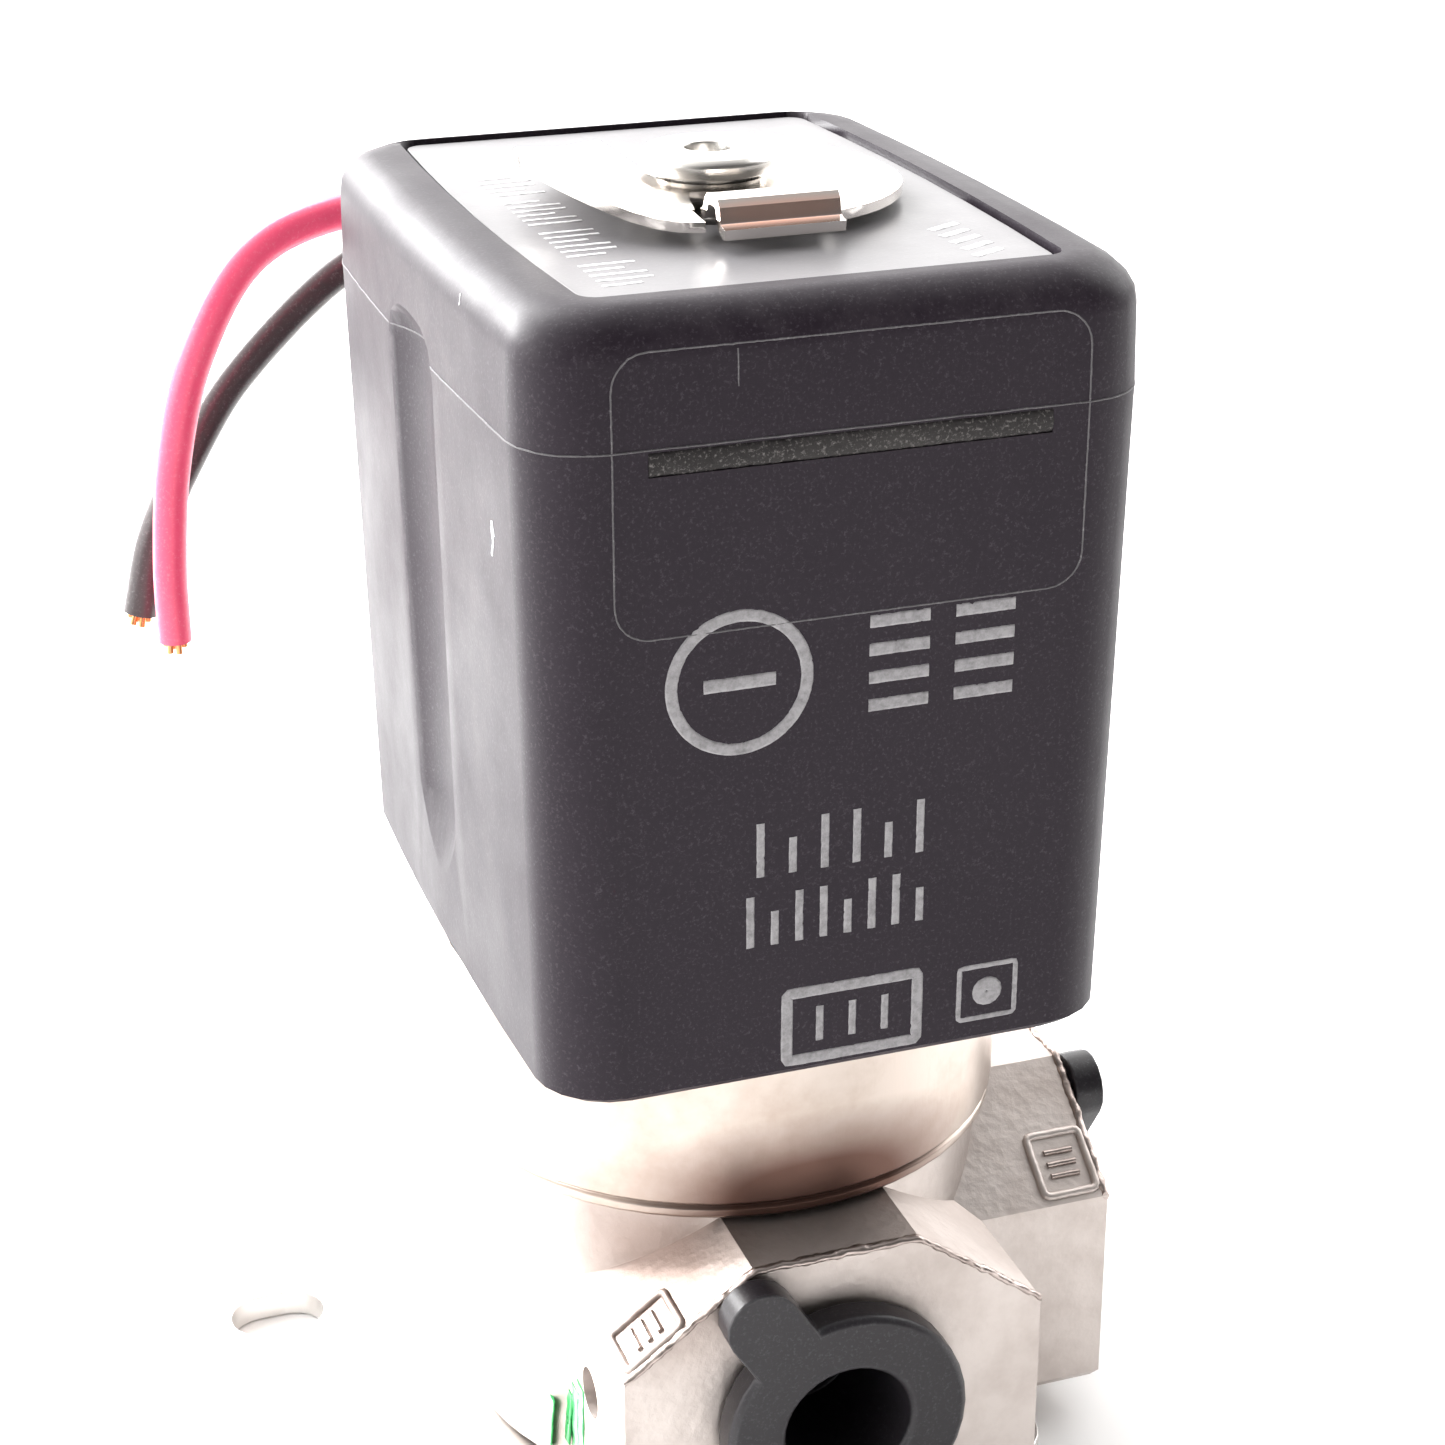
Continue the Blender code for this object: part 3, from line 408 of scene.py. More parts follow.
HOUSING_BLACK = Moulding(
    "housing_black", (0.0115, 0.0065, 0.0125), (0.16, 0.145, 0.155), (0.07, 0.06, 0.072), 0.47, 0.1, 0.5,
    0.006 * MM, 0.2,
)
FLASH_GREY = Moulding(
    "flash_grey", (0.06, 0.056, 0.06), (0.2, 0.19, 0.2), (0.26, 0.25, 0.26), 0.6, 0.9, 0.5
)
GATE_ROUGH = Moulding(
    "gate_rough", (0.016, 0.014, 0.0145), (0.12, 0.115, 0.11), (0.2, 0.185, 0.18), 0.8, 0.8, 0.8,
    0.03 * MM, 0.25,
)
PLATE_FILM = Moulding(
    "plate_film", (0.16, 0.155, 0.162), (0.25, 0.24, 0.25), (0.28, 0.27, 0.28), 0.4, 0.12, 0.2
)
SEAL_RUBBER = Moulding("seal_rubber", (0.02, 0.02, 0.02), (0.07, 0.07, 0.07), (0.12, 0.12, 0.12), 0.7)
CAP_BLACK = Moulding(
    "cap_black", (0.012, 0.0095, 0.0125), (0.06, 0.06, 0.065), (0.1, 0.1, 0.11), 0.4, 0.15, 0.3,
    0.005 * MM, 0.42,
)
NATURAL_NYLON = Moulding("natural_nylon", (0.6, 0.57, 0.5), (0.75, 0.73, 0.68), (0.4, 0.37, 0.3), 0.5)
RED_JACKET = Moulding(
    "red_jacket", (0.84, 0.075, 0.17), (0.92, 0.3, 0.38), (0.95, 0.5, 0.55), 0.34, 0.35, 0.2
)
BLACK_JACKET = Moulding("black_jacket", (0.045, 0.034, 0.036), (0.1, 0.1, 0.1), (0.2, 0.2, 0.2), 0.35)
# painted reflection: a warm brown patch on the clip's tab face that paints in the reflection of something
# brown
TAB_PAINTED_REFLECTION = PaintedLightPatch((0.0001, -0.0101, 0.0715), (0.006, 0.0006, 0.0009), (1.0, 0.68, 0.58))
# painted shadow: a grey-brown patch on the body's left, just below the collar, that paints in the collar's
# shadow
BODY_PAINTED_SHADOW = PaintedLightPatch((-0.0088, -0.0145, 0.0178), (0.0068, 0.0075, 0.005), (0.36, 0.29, 0.26))
# painted reflection: a dark brown patch at the front bottom of the collar that paints in a dark reflection
COLLAR_PAINTED_REFLECTION = PaintedLightPatch((0.0004, -0.0156, 0.0212), (0.0125, 0.0065, 0.005), (0.13, 0.075, 0.06))
STAINLESS = Metal(
    "stainless", (0.76, 0.72, 0.68), (0.6, 0.5, 0.44), Grain.POLISHED, 0.15, 0.3, 0.004 * MM, TAB_PAINTED_REFLECTION
)
DRAWN_STEEL = Metal("drawn_steel", (0.66, 0.64, 0.61), (0.5, 0.46, 0.42), Grain.TURNED, 0.22, 0.3)
CORE_STEEL = Metal("core_steel", (0.62, 0.6, 0.57), (0.45, 0.4, 0.36), Grain.TURNED, 0.26)
YOKE_STEEL = Metal("yoke_steel", (0.5, 0.5, 0.5), (0.42, 0.4, 0.33), Grain.ROLLED, 0.4)
COLLAR_METAL = Metal(
    "collar_metal", (0.5, 0.435, 0.39), (0.36, 0.275, 0.225), Grain.BRUSHED, 0.36, 0.75, 0.008 * MM,
    COLLAR_PAINTED_REFLECTION,
)
PLUG_METAL = Metal("plug_metal", (0.68, 0.58, 0.5), (0.52, 0.4, 0.33), Grain.TURNED, 0.3)
CAST_METAL = Metal(
    "cast_metal", (0.6, 0.545, 0.515), (0.42, 0.36, 0.33), Grain.CAST, 0.52, 0.6, 0.012 * MM, BODY_PAINTED_SHADOW
)
CAST_BURR = Metal("cast_burr", (0.5, 0.43, 0.4), (0.22, 0.17, 0.15), Grain.CAST, 0.3, 0.8, 0.02 * MM)
COPPER = Metal("copper_wire", (0.72, 0.32, 0.14), (0.5, 0.2, 0.09), Grain.POLISHED, 0.3)
ZINC = Metal("zinc_plate", (0.72, 0.7, 0.68), (0.6, 0.57, 0.54), Grain.ROLLED, 0.42, 0.4, 0.003 * MM)
PRINT_SILVER = Ink("print_silver", (0.3, 0.29, 0.3), (0.12, 0.115, 0.12))
PLATE_PRINT = Ink("plate_print", (0.85, 0.85, 0.86), (0.4, 0.4, 0.41), 0.45)
WHITE_NICK = Ink("white_nick", (0.85, 0.85, 0.85), (0.5, 0.5, 0.5))
GREEN_PAINT = Ink("green_paint", (0.015, 0.3, 0.07), (0.05, 0.5, 0.14), 0.35)


# ---------------------------------------------------------------------------------------
# Shared making of pieces
# ---------------------------------------------------------------------------------------
# Faces that meet at less than this angle are merged into one.
FLAT = math.radians(0.6)

# Faces narrower than this show wear, from the turn where it starts and over the turn it grows in.
NARROW = 0.9 * MM
WEAR_START = math.radians(10)
WEAR_SPAN = math.radians(14)


class Workshop:
    """Makes the meshes that every sub-assembly is built from, and hands them to the frame."""

    def __init__(self) -> None:
        """Keep one material for each finish, and the shared sweep tree."""
        self.materials: dict[str, bpy.types.Material] = {}
        self.sweep = SweepTree()

    def material(self, finish: Finish) -> bpy.types.Material:
        """Return a finish's material, made once.

        Args:
            finish: the finish that is wanted.

        Returns:
            Its material.
        """
        if finish.name not in self.materials:
            self.materials[finish.name] = finish.material()
        return self.materials[finish.name]

    def hand_over(
        self,
        piece: bpy.types.Object,
        body: str,
        slot: str,
        finish: Finish,
        replaced: tuple[str, ...] = (),
    ) -> bpy.types.Object:
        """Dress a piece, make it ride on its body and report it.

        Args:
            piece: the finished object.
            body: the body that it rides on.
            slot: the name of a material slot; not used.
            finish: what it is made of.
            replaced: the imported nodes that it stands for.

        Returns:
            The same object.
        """
        piece.data.materials.clear()
        piece.data.materials.append(self.material(finish))
        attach(piece, body)
        if replaced:
            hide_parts(*replaced)
        LOG.info("%s rides on %s in %s", piece.name, body, finish.name)
        return piece

    def sweep_piece(
        self,
        name: str,
        paths: list[list[Vector]],
        closed: bool,
        body: str,
        slot: str,
        finish: Finish,
        **sizes: float | int | Triple,
    ) -> bpy.types.Object:
        """Sweep a section along paths and hand the piece over.

        Args:
            name: the piece's name.
            paths: the points that each path follows.
            closed: whether each path's end joins its start.
            body: the body that it rides on.
            slot: the name of a material slot; not used.
            finish: what it is made of.
            **sizes: the sweep tree's inputs by name.

        Returns:
            The new piece.
        """
        made = self.sweep.run(name, paths, closed, self.material(finish), **sizes)
        return self.hand_over(made, body, slot, finish)

    def carry(
        self,
        node: str,
        body: str,
        slot: str,
        finish: Finish,
        crease: float = 28.0,
        edge: float = 0.0,
    ) -> bpy.types.Object:
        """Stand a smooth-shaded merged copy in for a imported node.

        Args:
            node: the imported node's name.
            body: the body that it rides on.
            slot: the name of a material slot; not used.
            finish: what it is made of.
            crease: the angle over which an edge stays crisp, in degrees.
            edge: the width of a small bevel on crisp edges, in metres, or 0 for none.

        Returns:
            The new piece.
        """
        built = bmesh.new()
        built.from_mesh(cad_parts[node].data)
        bmesh.ops.remove_doubles(built, verts=built.verts, dist=1e-7)
        bmesh.ops.dissolve_limit(built, angle_limit=FLAT, verts=built.verts, edges=built.edges)
        if edge > 0:
            limit = math.radians(crease)
            crisp = [e for e in built.edges if e.is_manifold and e.calc_face_angle(0.0) > limit]
            bmesh.ops.bevel(
                built, geom=crisp, offset=edge, offset_type="OFFSET", segments=2, profile=0.5,
                affect="EDGES", clamp_overlap=True,
            )
        mark_wear(built)
        piece = mesh_object(node + "_finished", built)
        shade_by_angle(piece, crease)
        return self.hand_over(piece, body, slot, finish, (node,))


def mark_wear(built: bmesh.types.BMesh) -> None:
    """Store on the corners of narrow faces how sharply the surface turns there, for worn edges.

    Args:
        built: the mesh that is marked.
    """
    layer = built.loops.layers.float.new("wear")
    for face in built.faces:
        longest = max(e.calc_length() for e in face.edges)
        width = face.calc_area() / longest if longest > 0.0 else NARROW
        if width >= NARROW:
            continue
        for loop in face.loops:
            turns = [e.calc_face_angle_signed(0.0) for e in loop.vert.link_edges if e.is_manifold]
            sharpest = max(turns, default=0.0)
            turning = max(0.0, min(1.0, (sharpest - WEAR_START) / WEAR_SPAN))
            loop[layer] = turning * (1.0 - width / NARROW)


def mesh_object(name: str, built: bmesh.types.BMesh) -> bpy.types.Object:
    """Turn a built mesh into a linked object at the origin.

    Args:
        name: the object's name.
        built: the mesh, which is freed.

    Returns:
        The new object.
    """
    mesh = bpy.data.meshes.new(name)
    built.to_mesh(mesh)
    built.free()
    made = bpy.data.objects.new(name, mesh)
    bpy.context.scene.collection.objects.link(made)
    return made


def shade_by_angle(piece: bpy.types.Object, crease: float) -> None:
    """Shade a piece smooth except across its crisp edges.

    Args:
        piece: the object that is shaded.
        crease: the angle over which an edge stays crisp, in degrees.
    """
    mesh = piece.data
    for face in mesh.polygons:
        face.use_smooth = True
    mesh.set_sharp_from_angle(angle=math.radians(crease))
    weigh = piece.modifiers.new("face_weight", "WEIGHTED_NORMAL")
    weigh.keep_sharp = True
    weigh.weight = 80
    graph = bpy.context.evaluated_depsgraph_get()
    baked = bpy.data.meshes.new_from_object(piece.evaluated_get(graph))
    piece.modifiers.remove(weigh)
    piece.data = baked
    baked.name = piece.name


class SweepTree:
    """The node tree that sweeps an oval section along paths, with a ragged surface if asked."""

    INPUTS = (
        ("Width", "NodeSocketFloat", 0.0005),
        ("Height", "NodeSocketFloat", 0.0001),
        ("Step", "NodeSocketFloat", 0.0004),
        ("Sides", "NodeSocketInt", 8),
        ("Facing", "NodeSocketVector", (0.0, -1.0, 0.0)),
        ("Ragged", "NodeSocketFloat", 0.0),
        ("Grain", "NodeSocketFloat", 2500.0),
        ("Seed", "NodeSocketFloat", 7.0),
        ("Finish", "NodeSocketMaterial", None),
    )

    def __init__(self) -> None:
        """Build the tree once."""
        self.tree = bpy.data.node_groups.new("sweep_along_path", "GeometryNodeTree")
        self.tree.is_modifier = True
        face = self.tree.interface
        face.new_socket("Geometry", in_out="INPUT", socket_type="NodeSocketGeometry")
        for name, kind, start in self.INPUTS:
            made = face.new_socket(name, in_out="INPUT", socket_type=kind)
            if start is not None:
                made.default_value = start
        face.new_socket("Geometry", in_out="OUTPUT", socket_type="NodeSocketGeometry")
        self.fill()

    def fill(self) -> None:
        """Add the tree's nodes and join them."""
        nodes = self.tree.nodes
        link = self.tree.links.new
        given = nodes.new("NodeGroupInput")
        curve = nodes.new("GeometryNodeMeshToCurve")
        spaced = nodes.new("GeometryNodeResampleCurve")
        spaced.mode = "LENGTH"
        turned = nodes.new("GeometryNodeSetCurveNormal")
        turned.mode = "FREE"
        ring = nodes.new("GeometryNodeCurvePrimitiveCircle")
        ring.inputs["Radius"].default_value = 0.5
        size = nodes.new("ShaderNodeCombineXYZ")
        size.inputs["Z"].default_value = 1.0
        oval = nodes.new("GeometryNodeTransform")
        swept = nodes.new("GeometryNodeCurveToMesh")
        swept.inputs["Fill Caps"].default_value = True
        cloud = nodes.new("ShaderNodeTexNoise")
        cloud.noise_dimensions = "4D"
        cloud.inputs["Detail"].default_value = 2.0
        centred = nodes.new("ShaderNodeVectorMath")
        centred.operation = "SUBTRACT"
        centred.inputs[1].default_value = (0.5, 0.5, 0.5)
        scaled = nodes.new("ShaderNodeVectorMath")
        scaled.operation = "SCALE"
        moved = nodes.new("GeometryNodeSetPosition")
        real = nodes.new("GeometryNodeRealizeInstances")
        dressed = nodes.new("GeometryNodeSetMaterial")
        result = nodes.new("NodeGroupOutput")
        link(given.outputs["Geometry"], curve.inputs[0])
        link(curve.outputs[0], spaced.inputs["Curve"])
        link(given.outputs["Step"], spaced.inputs["Length"])
        link(spaced.outputs[0], turned.inputs["Curve"])
        link(given.outputs["Facing"], turned.inputs["Normal"])
        link(given.outputs["Sides"], ring.inputs["Resolution"])
        link(given.outputs["Height"], size.inputs["X"])
        link(given.outputs["Width"], size.inputs["Y"])
        link(ring.outputs["Curve"], oval.inputs["Geometry"])
        link(size.outputs[0], oval.inputs["Scale"])
        link(turned.outputs[0], swept.inputs["Curve"])
        link(oval.outputs[0], swept.inputs["Profile Curve"])
        link(given.outputs["Grain"], cloud.inputs["Scale"])
        link(given.outputs["Seed"], cloud.inputs["W"])
        link(cloud.outputs["Color"], centred.inputs[0])
        link(centred.outputs[0], scaled.inputs[0])
        link(given.outputs["Ragged"], scaled.inputs["Scale"])
        link(swept.outputs[0], moved.inputs["Geometry"])
        link(scaled.outputs[0], moved.inputs["Offset"])
        link(moved.outputs[0], real.inputs[0])
        link(real.outputs[0], dressed.inputs["Geometry"])
        link(given.outputs["Finish"], dressed.inputs["Material"])
        link(dressed.outputs[0], result.inputs[0])

    def run(
        self,
        name: str,
        paths: list[list[Vector]],
        closed: bool,
        finish: bpy.types.Material,
        **sizes: float | int | Triple,
    ) -> bpy.types.Object:
        """Sweep along paths and return the result as a plain mesh object.

        Args:
            name: the object's name.
            paths: the points that each path follows.
            closed: whether each path's end joins its start.
            finish: the material that the tree sets.
            **sizes: the tree's inputs by name.

        Returns:
            The new object.
        """
        built = bmesh.new()
        for path in paths:
            verts = [built.verts.new(point) for point in path]
            for first, second in zip(verts, verts[1:]):
                built.edges.new((first, second))
            if closed:
                built.edges.new((verts[-1], verts[0]))
        base = mesh_object(name + "_path", built)
        modifier = base.modifiers.new("sweep", "NODES")
        modifier.node_group = self.tree
        given = {**sizes, "Finish": finish}
        for item in self.tree.interface.items_tree:
            if item.in_out == "INPUT" and item.name in given:
                modifier[item.identifier] = given[item.name]
        graph = bpy.context.evaluated_depsgraph_get()
        mesh = bpy.data.meshes.new_from_object(base.evaluated_get(graph))
        mesh.name = name
        bpy.data.objects.remove(base)
        tidy = bmesh.new()
        tidy.from_mesh(mesh)
        bmesh.ops.remove_doubles(tidy, verts=tidy.verts, dist=1e-7)
        bmesh.ops.recalc_face_normals(tidy, faces=tidy.faces)
        tidy.to_mesh(mesh)
        tidy.free()
        for face in mesh.polygons:
            face.use_smooth = True
        made = bpy.data.objects.new(name, mesh)
        bpy.context.scene.collection.objects.link(made)
        return made


class Skin:
    """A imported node's surface, for laying fine shapes on."""

    def __init__(self, node: str) -> None:
        """Index a node's surface.

        Args:
            node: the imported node's name.
        """
        built = bmesh.new()
        built.from_mesh(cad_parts[node].data)
        self.tree = BVHTree.FromBMesh(built)
        built.free()

    def touch(self, start: Vector, aim: Vector) -> Vector:
        """Return where a straight line first meets the surface.

        Args:
            start: where the line begins.
            aim: the direction it runs in.

        Returns:
            The meeting point, or the start if the line misses.
        """
        spot = self.tree.ray_cast(start, aim.normalized())[0]
        return start.copy() if spot is None else spot


def arc(centre: Pair, radius: float, start: float, end: float, steps: int) -> Line:
    """Return points along a flat arc.

    Args:
        centre: the arc's centre.
        radius: its radius.
        start: the angle that it starts at, in degrees.
        end: the angle that it ends at, in degrees.
        steps: how many legs it has.

    Returns:
        The points.
    """
    points = []
    for i in range(steps + 1):
        angle = math.radians(start + (end - start) * i / steps)
        points.append((centre[0] + radius * math.cos(angle), centre[1] + radius * math.sin(angle)))
    return points


def finely(line: Line, longest: float, closed: bool) -> Line:
    """Return a flat line with points added so that no leg is long.

    Args:
        line: the line's points.
        longest: about how long a leg may be.
        closed: whether the end joins the start.

    Returns:
        The denser line.
    """
    dense = []
    ends = zip(line, line[1:] + line[:1]) if closed else zip(line, line[1:])
    for first, second in ends:
        legs = max(1, round(math.dist(first, second) / longest))
        for k in range(legs):
            share = k / legs
            dense.append(tuple(a + (b - a) * share for a, b in zip(first, second)))
    return dense if closed else [*dense, line[-1]]


def rounded_frame(low: Pair, high: Pair, radius: float) -> Line:
    """Return a rectangle with rounded corners.

    Args:
        low: its lowest corner.
        high: its highest corner.
        radius: the corners' radius.

    Returns:
        The outline's points, counter-clockwise.
    """
    corners = (
        (high[0] - radius, low[1] + radius, -90.0),
        (high[0] - radius, high[1] - radius, 0.0),
        (low[0] + radius, high[1] - radius, 90.0),
        (low[0] + radius, low[1] + radius, 180.0),
    )
    points: Line = []
    for x, y, start in corners:
        points += arc((x, y), radius, start, start + 90.0, 6)
    return points


# ---------------------------------------------------------------------------------------
# Camera, light and floor
# ---------------------------------------------------------------------------------------
@dataclass(frozen=True)
class Lamp:
    """One soft square light: its place, the length of its side, its power and what it looks at."""

    name: str
    place: Triple
    size: float
    power: float
    mark: Triple = (0.0, 0.0, 0.04)

    def hang(self) -> None:
        """Hang the light in its place."""
        data = bpy.data.lights.new(self.name, "AREA")
        data.size = self.size
        data.energy = self.power
        light = bpy.data.objects.new(self.name, data)
        bpy.context.scene.collection.objects.link(light)
        aim = Vector(self.mark) - Vector(self.place)
        light.rotation_mode = "QUATERNION"
        light.rotation_quaternion = aim.to_track_quat("-Z", "Y")
        light.location = self.place


@dataclass
class Studio:
    """The camera, the pale floor and the soft light round the object."""

    camera_place: Triple = (-0.04605, -0.13459, 0.10276)
    turn: float = 19.11
    tilt: float = 23.32
    roll: float = -0.3
    lens: float = 72.09
    floor_half: float = 1.5
    floor_drop: float = 0.1 * MM
    dark_side: Triple = (0.25, -0.95, 0.1)
    tent_behind: float = 3.3
    tent_ahead: float = 0.16
    lamps: tuple[Lamp, ...] = (
        Lamp("back_light", (-0.2, 0.42, 0.34), 0.4, 6.0),
        Lamp("left_light", (-0.45, 0.02, 0.2), 0.3, 1.1),
        Lamp("right_light", (0.4, 0.1, 0.3), 0.35, 1.0),
        Lamp("floor_light", (-0.12, 0.17, 0.12), 0.1, 0.9, (-0.07, 0.12, 0.0)),
    )

    def build_camera(self) -> None:
        """Set the camera where the object is seen from."""
        data = bpy.data.cameras.new("camera")
        data.lens = self.lens
        data.sensor_width = 36.0
        data.clip_start = 0.005
        data.clip_end = 20.0
        camera = bpy.data.objects.new("camera", data)
        bpy.context.scene.collection.objects.link(camera)
        aim = (
            Matrix.Rotation(-math.radians(self.turn), 4, "Z")
            @ Matrix.Rotation(math.radians(90.0 - self.tilt), 4, "X")
            @ Matrix.Rotation(math.radians(self.roll), 4, "Z")
        )
        camera.matrix_world = Matrix.Translation(self.camera_place) @ aim
        bpy.context.scene.camera = camera

    def build_floor(self) -> None:
        """Lay the plain pale floor."""
        built = bmesh.new()
        bmesh.ops.create_grid(built, x_segments=1, y_segments=1, size=self.floor_half)
        floor = mesh_object("floor", built)
        floor.data.transform(Matrix.Translation((0.0, 0.0, -self.floor_drop)))
        paint = bpy.data.materials.new("floor_white")
        paint.use_nodes = True
        shader = paint.node_tree.nodes["Principled BSDF"]
        shader.inputs["Base Color"].default_value = (0.93, 0.925, 0.92, 1.0)
        shader.inputs["Roughness"].default_value = 0.9
        floor.data.materials.append(paint)

    def build_surroundings(self) -> None:
        """Make a bright tent that is darker on the side the viewer stands on."""
        world = bpy.data.worlds.new("studio")
        world.use_nodes = True
        bpy.context.scene.world = world
        nodes = world.node_tree.nodes
        link = world.node_tree.links.new
        nodes.clear()
        facing = nodes.new("ShaderNodeTexCoord")
        toward = nodes.new("ShaderNodeVectorMath")
        toward.operation = "DOT_PRODUCT"
        toward.inputs[1].default_value = Vector(self.dark_side).normalized()
        ramp = nodes.new("ShaderNodeMapRange")
        ramp.interpolation_type = "SMOOTHSTEP"
        ramp.inputs["From Min"].default_value = -0.75
        ramp.inputs["From Max"].default_value = 0.8
        ramp.inputs["To Min"].default_value = self.tent_behind
        ramp.inputs["To Max"].default_value = self.tent_ahead
        tent = nodes.new("ShaderNodeBackground")
        tent.inputs["Color"].default_value = (1.0, 0.99, 0.98, 1.0)
        backdrop = nodes.new("ShaderNodeBackground")
        backdrop.inputs["Color"].default_value = (1.0, 1.0, 1.0, 1.0)
        backdrop.inputs["Strength"].default_value = 1.1
        seen = nodes.new("ShaderNodeLightPath")
        chosen = nodes.new("ShaderNodeMixShader")
        out = nodes.new("ShaderNodeOutputWorld")
        link(facing.outputs["Generated"], toward.inputs[0])
        link(toward.outputs["Value"], ramp.inputs["Value"])
        link(ramp.outputs["Result"], tent.inputs["Strength"])
        link(seen.outputs["Is Camera Ray"], chosen.inputs["Fac"])
        link(tent.outputs[0], chosen.inputs[1])
        link(backdrop.outputs[0], chosen.inputs[2])
        link(chosen.outputs[0], out.inputs["Surface"])

    def build(self) -> None:
        """Build the camera, the floor and every light."""
        self.build_camera()
        self.build_floor()
        self.build_surroundings()
        for lamp in self.lamps:
            lamp.hang()
        view = bpy.context.scene.view_settings
        view.view_transform = "Standard"
        view.look = "None"
        view.exposure = 0.0
        LOG.info("the studio is set")


# ---------------------------------------------------------------------------------------
# Leads
# ---------------------------------------------------------------------------------------
@dataclass
class Leads:
    """The two short cut leads with their bare strands."""

    shop: Workshop
    radius: float = 1.0 * MM
    strand_radius: float = 0.2 * MM
    strand_reach: float = 0.7 * MM
    strand_root: float = 0.3 * MM
    outer_strands: int = 6
    spacing: float = 0.6 * MM
    samples: int = 24
    # The points that each lead passes through, in millimetres, from the back wall to its cut end.
    red_stations: tuple[Triple, ...] = (
        (-1.75, 21.9, 63.6), (-1.75, 24.1, 63.6), (-6.0, 26.0, 64.6), (-13.6, 25.8, 64.4),
        (-18.8, 25.3, 62.3), (-22.2, 25.0, 57.0), (-23.9, 25.0, 51.0), (-24.6, 25.0, 45.1),
        (-24.7, 25.0, 40.2),
    )
    black_stations: tuple[Triple, ...] = (
        (1.75, 21.9, 63.6), (1.75, 24.3, 63.6), (-2.5, 28.6, 63.2), (-8.0, 29.6, 62.0),
        (-13.2, 29.6, 59.8), (-19.0, 29.2, 54.8), (-22.2, 28.6, 50.6), (-24.9, 28.2, 45.6),
        (-26.2, 28.0, 41.0),
    )

    def smooth_path(self, stations: tuple[Triple, ...]) -> list[Vector]:
        """Return evenly spaced points along a smooth curve through the stations.

        Args:
            stations: the points that the curve passes through, in millimetres.

        Returns:
            The evenly spaced points in metres, from the first station to the last.
        """
        knots = [Vector(station) * MM for station in stations]
        padded = [knots[0] * 2 - knots[1], *knots, knots[-1] * 2 - knots[-2]]
        dense = []
        for a, b, c, d in zip(padded, padded[1:], padded[2:], padded[3:]):
            for k in range(self.samples):
                t = k / self.samples
                bend = (2 * a - 5 * b + 4 * c - d) * t ** 2 + (3 * b - a - 3 * c + d) * t ** 3
                dense.append((2 * b + (c - a) * t + bend) * 0.5)
        dense.append(knots[-1])
        legs = [(q - p).length for p, q in zip(dense, dense[1:])]
        count = round(sum(legs) / self.spacing)
        even = [dense[0]]
        walked = 0.0
        for p, q, leg in zip(dense, dense[1:], legs):
            while len(even) < count and walked + leg >= len(even) * sum(legs) / count:
                even.append(p.lerp(q, (len(even) * sum(legs) / count - walked) / leg))
            walked += leg
        return [*even, dense[-1]]

    def build_jacket(self, name: str, path: list[Vector]) -> bpy.types.Object:
        """Make one lead's jacket as a round curve.

        Args:
            name: the piece's name.
            path: the points along its middle.

        Returns:
            The curve object.
        """
        curve = bpy.data.curves.new(name, "CURVE")
        curve.dimensions = "3D"
        curve.bevel_depth = self.radius
        curve.bevel_resolution = 5
        curve.use_fill_caps = True
        strand = curve.splines.new("POLY")
        strand.points.add(len(path) - 1)
        for point, place in zip(strand.points, path):
            point.co = (*place, 1.0)
        strand.use_smooth = True
        made = bpy.data.objects.new(name, curve)
        bpy.context.scene.collection.objects.link(made)
        return made

    def build_strands(self, name: str, path: list[Vector]) -> bpy.types.Object:
        """Make the bundle of bare strands that shows at a lead's cut end.

        Args:
            name: the piece's name.
            path: the points along the lead's middle.

        Returns:
            The bundle, as one mesh.
        """
        ahead = (path[-1] - path[-3]).normalized()
        side = ahead.orthogonal().normalized()
        up = ahead.cross(side)
        spots = [Vector((0.0, 0.0))]
        for k in range(self.outer_strands):
            angle = math.tau * k / self.outer_strands
            spots.append(Vector((math.cos(angle), math.sin(angle))) * self.strand_radius * 2.1)
        paths = []
        for k, spot in enumerate(spots):
            off = side * spot.x + up * spot.y
            foot = path[-1] - ahead * self.strand_root + off
            reach = self.strand_reach * (0.75 + 0.25 * math.sin(2.4 * k))
            tip = foot + ahead * (self.strand_root + reach) + off * 0.25
            paths.append([foot, foot.lerp(tip, 0.5), tip])
        width = self.strand_radius * 2
        return self.shop.sweep_piece(
            name, paths, False, "coil", "copper_wire", COPPER,
            Width=width, Height=width, Step=0.3 * MM, Sides=8, Facing=tuple(side),
        )

    def build(self) -> None:
        """Build both leads."""
        plans = (
            ("lead_red", self.red_stations, RED_JACKET, "red_jacket"),
            ("lead_black", self.black_stations, BLACK_JACKET, "black_jacket"),
        )
        for node, stations, finish, slot in plans:
            path = self.smooth_path(stations)
            jacket = self.build_jacket(node + "_jacket", path)
            self.shop.hand_over(jacket, "coil", slot, finish, (node,))
            bundle = self.build_strands(node + "_strands", path)


# ---------------------------------------------------------------------------------------
# Coil
# ---------------------------------------------------------------------------------------
class MarkShape(Enum):
    """Whether a printed stroke's end joins its start."""

    OPEN = "open"
    CLOSED = "closed"


class Wall(Enum):
    """The wall that a mark lies on, by the direction it faces."""

    FRONT = (0.0, -1.0, 0.0)
    LEFT = (-1.0, 0.0, 0.0)
    TOP = (0.0, 0.0, 1.0)


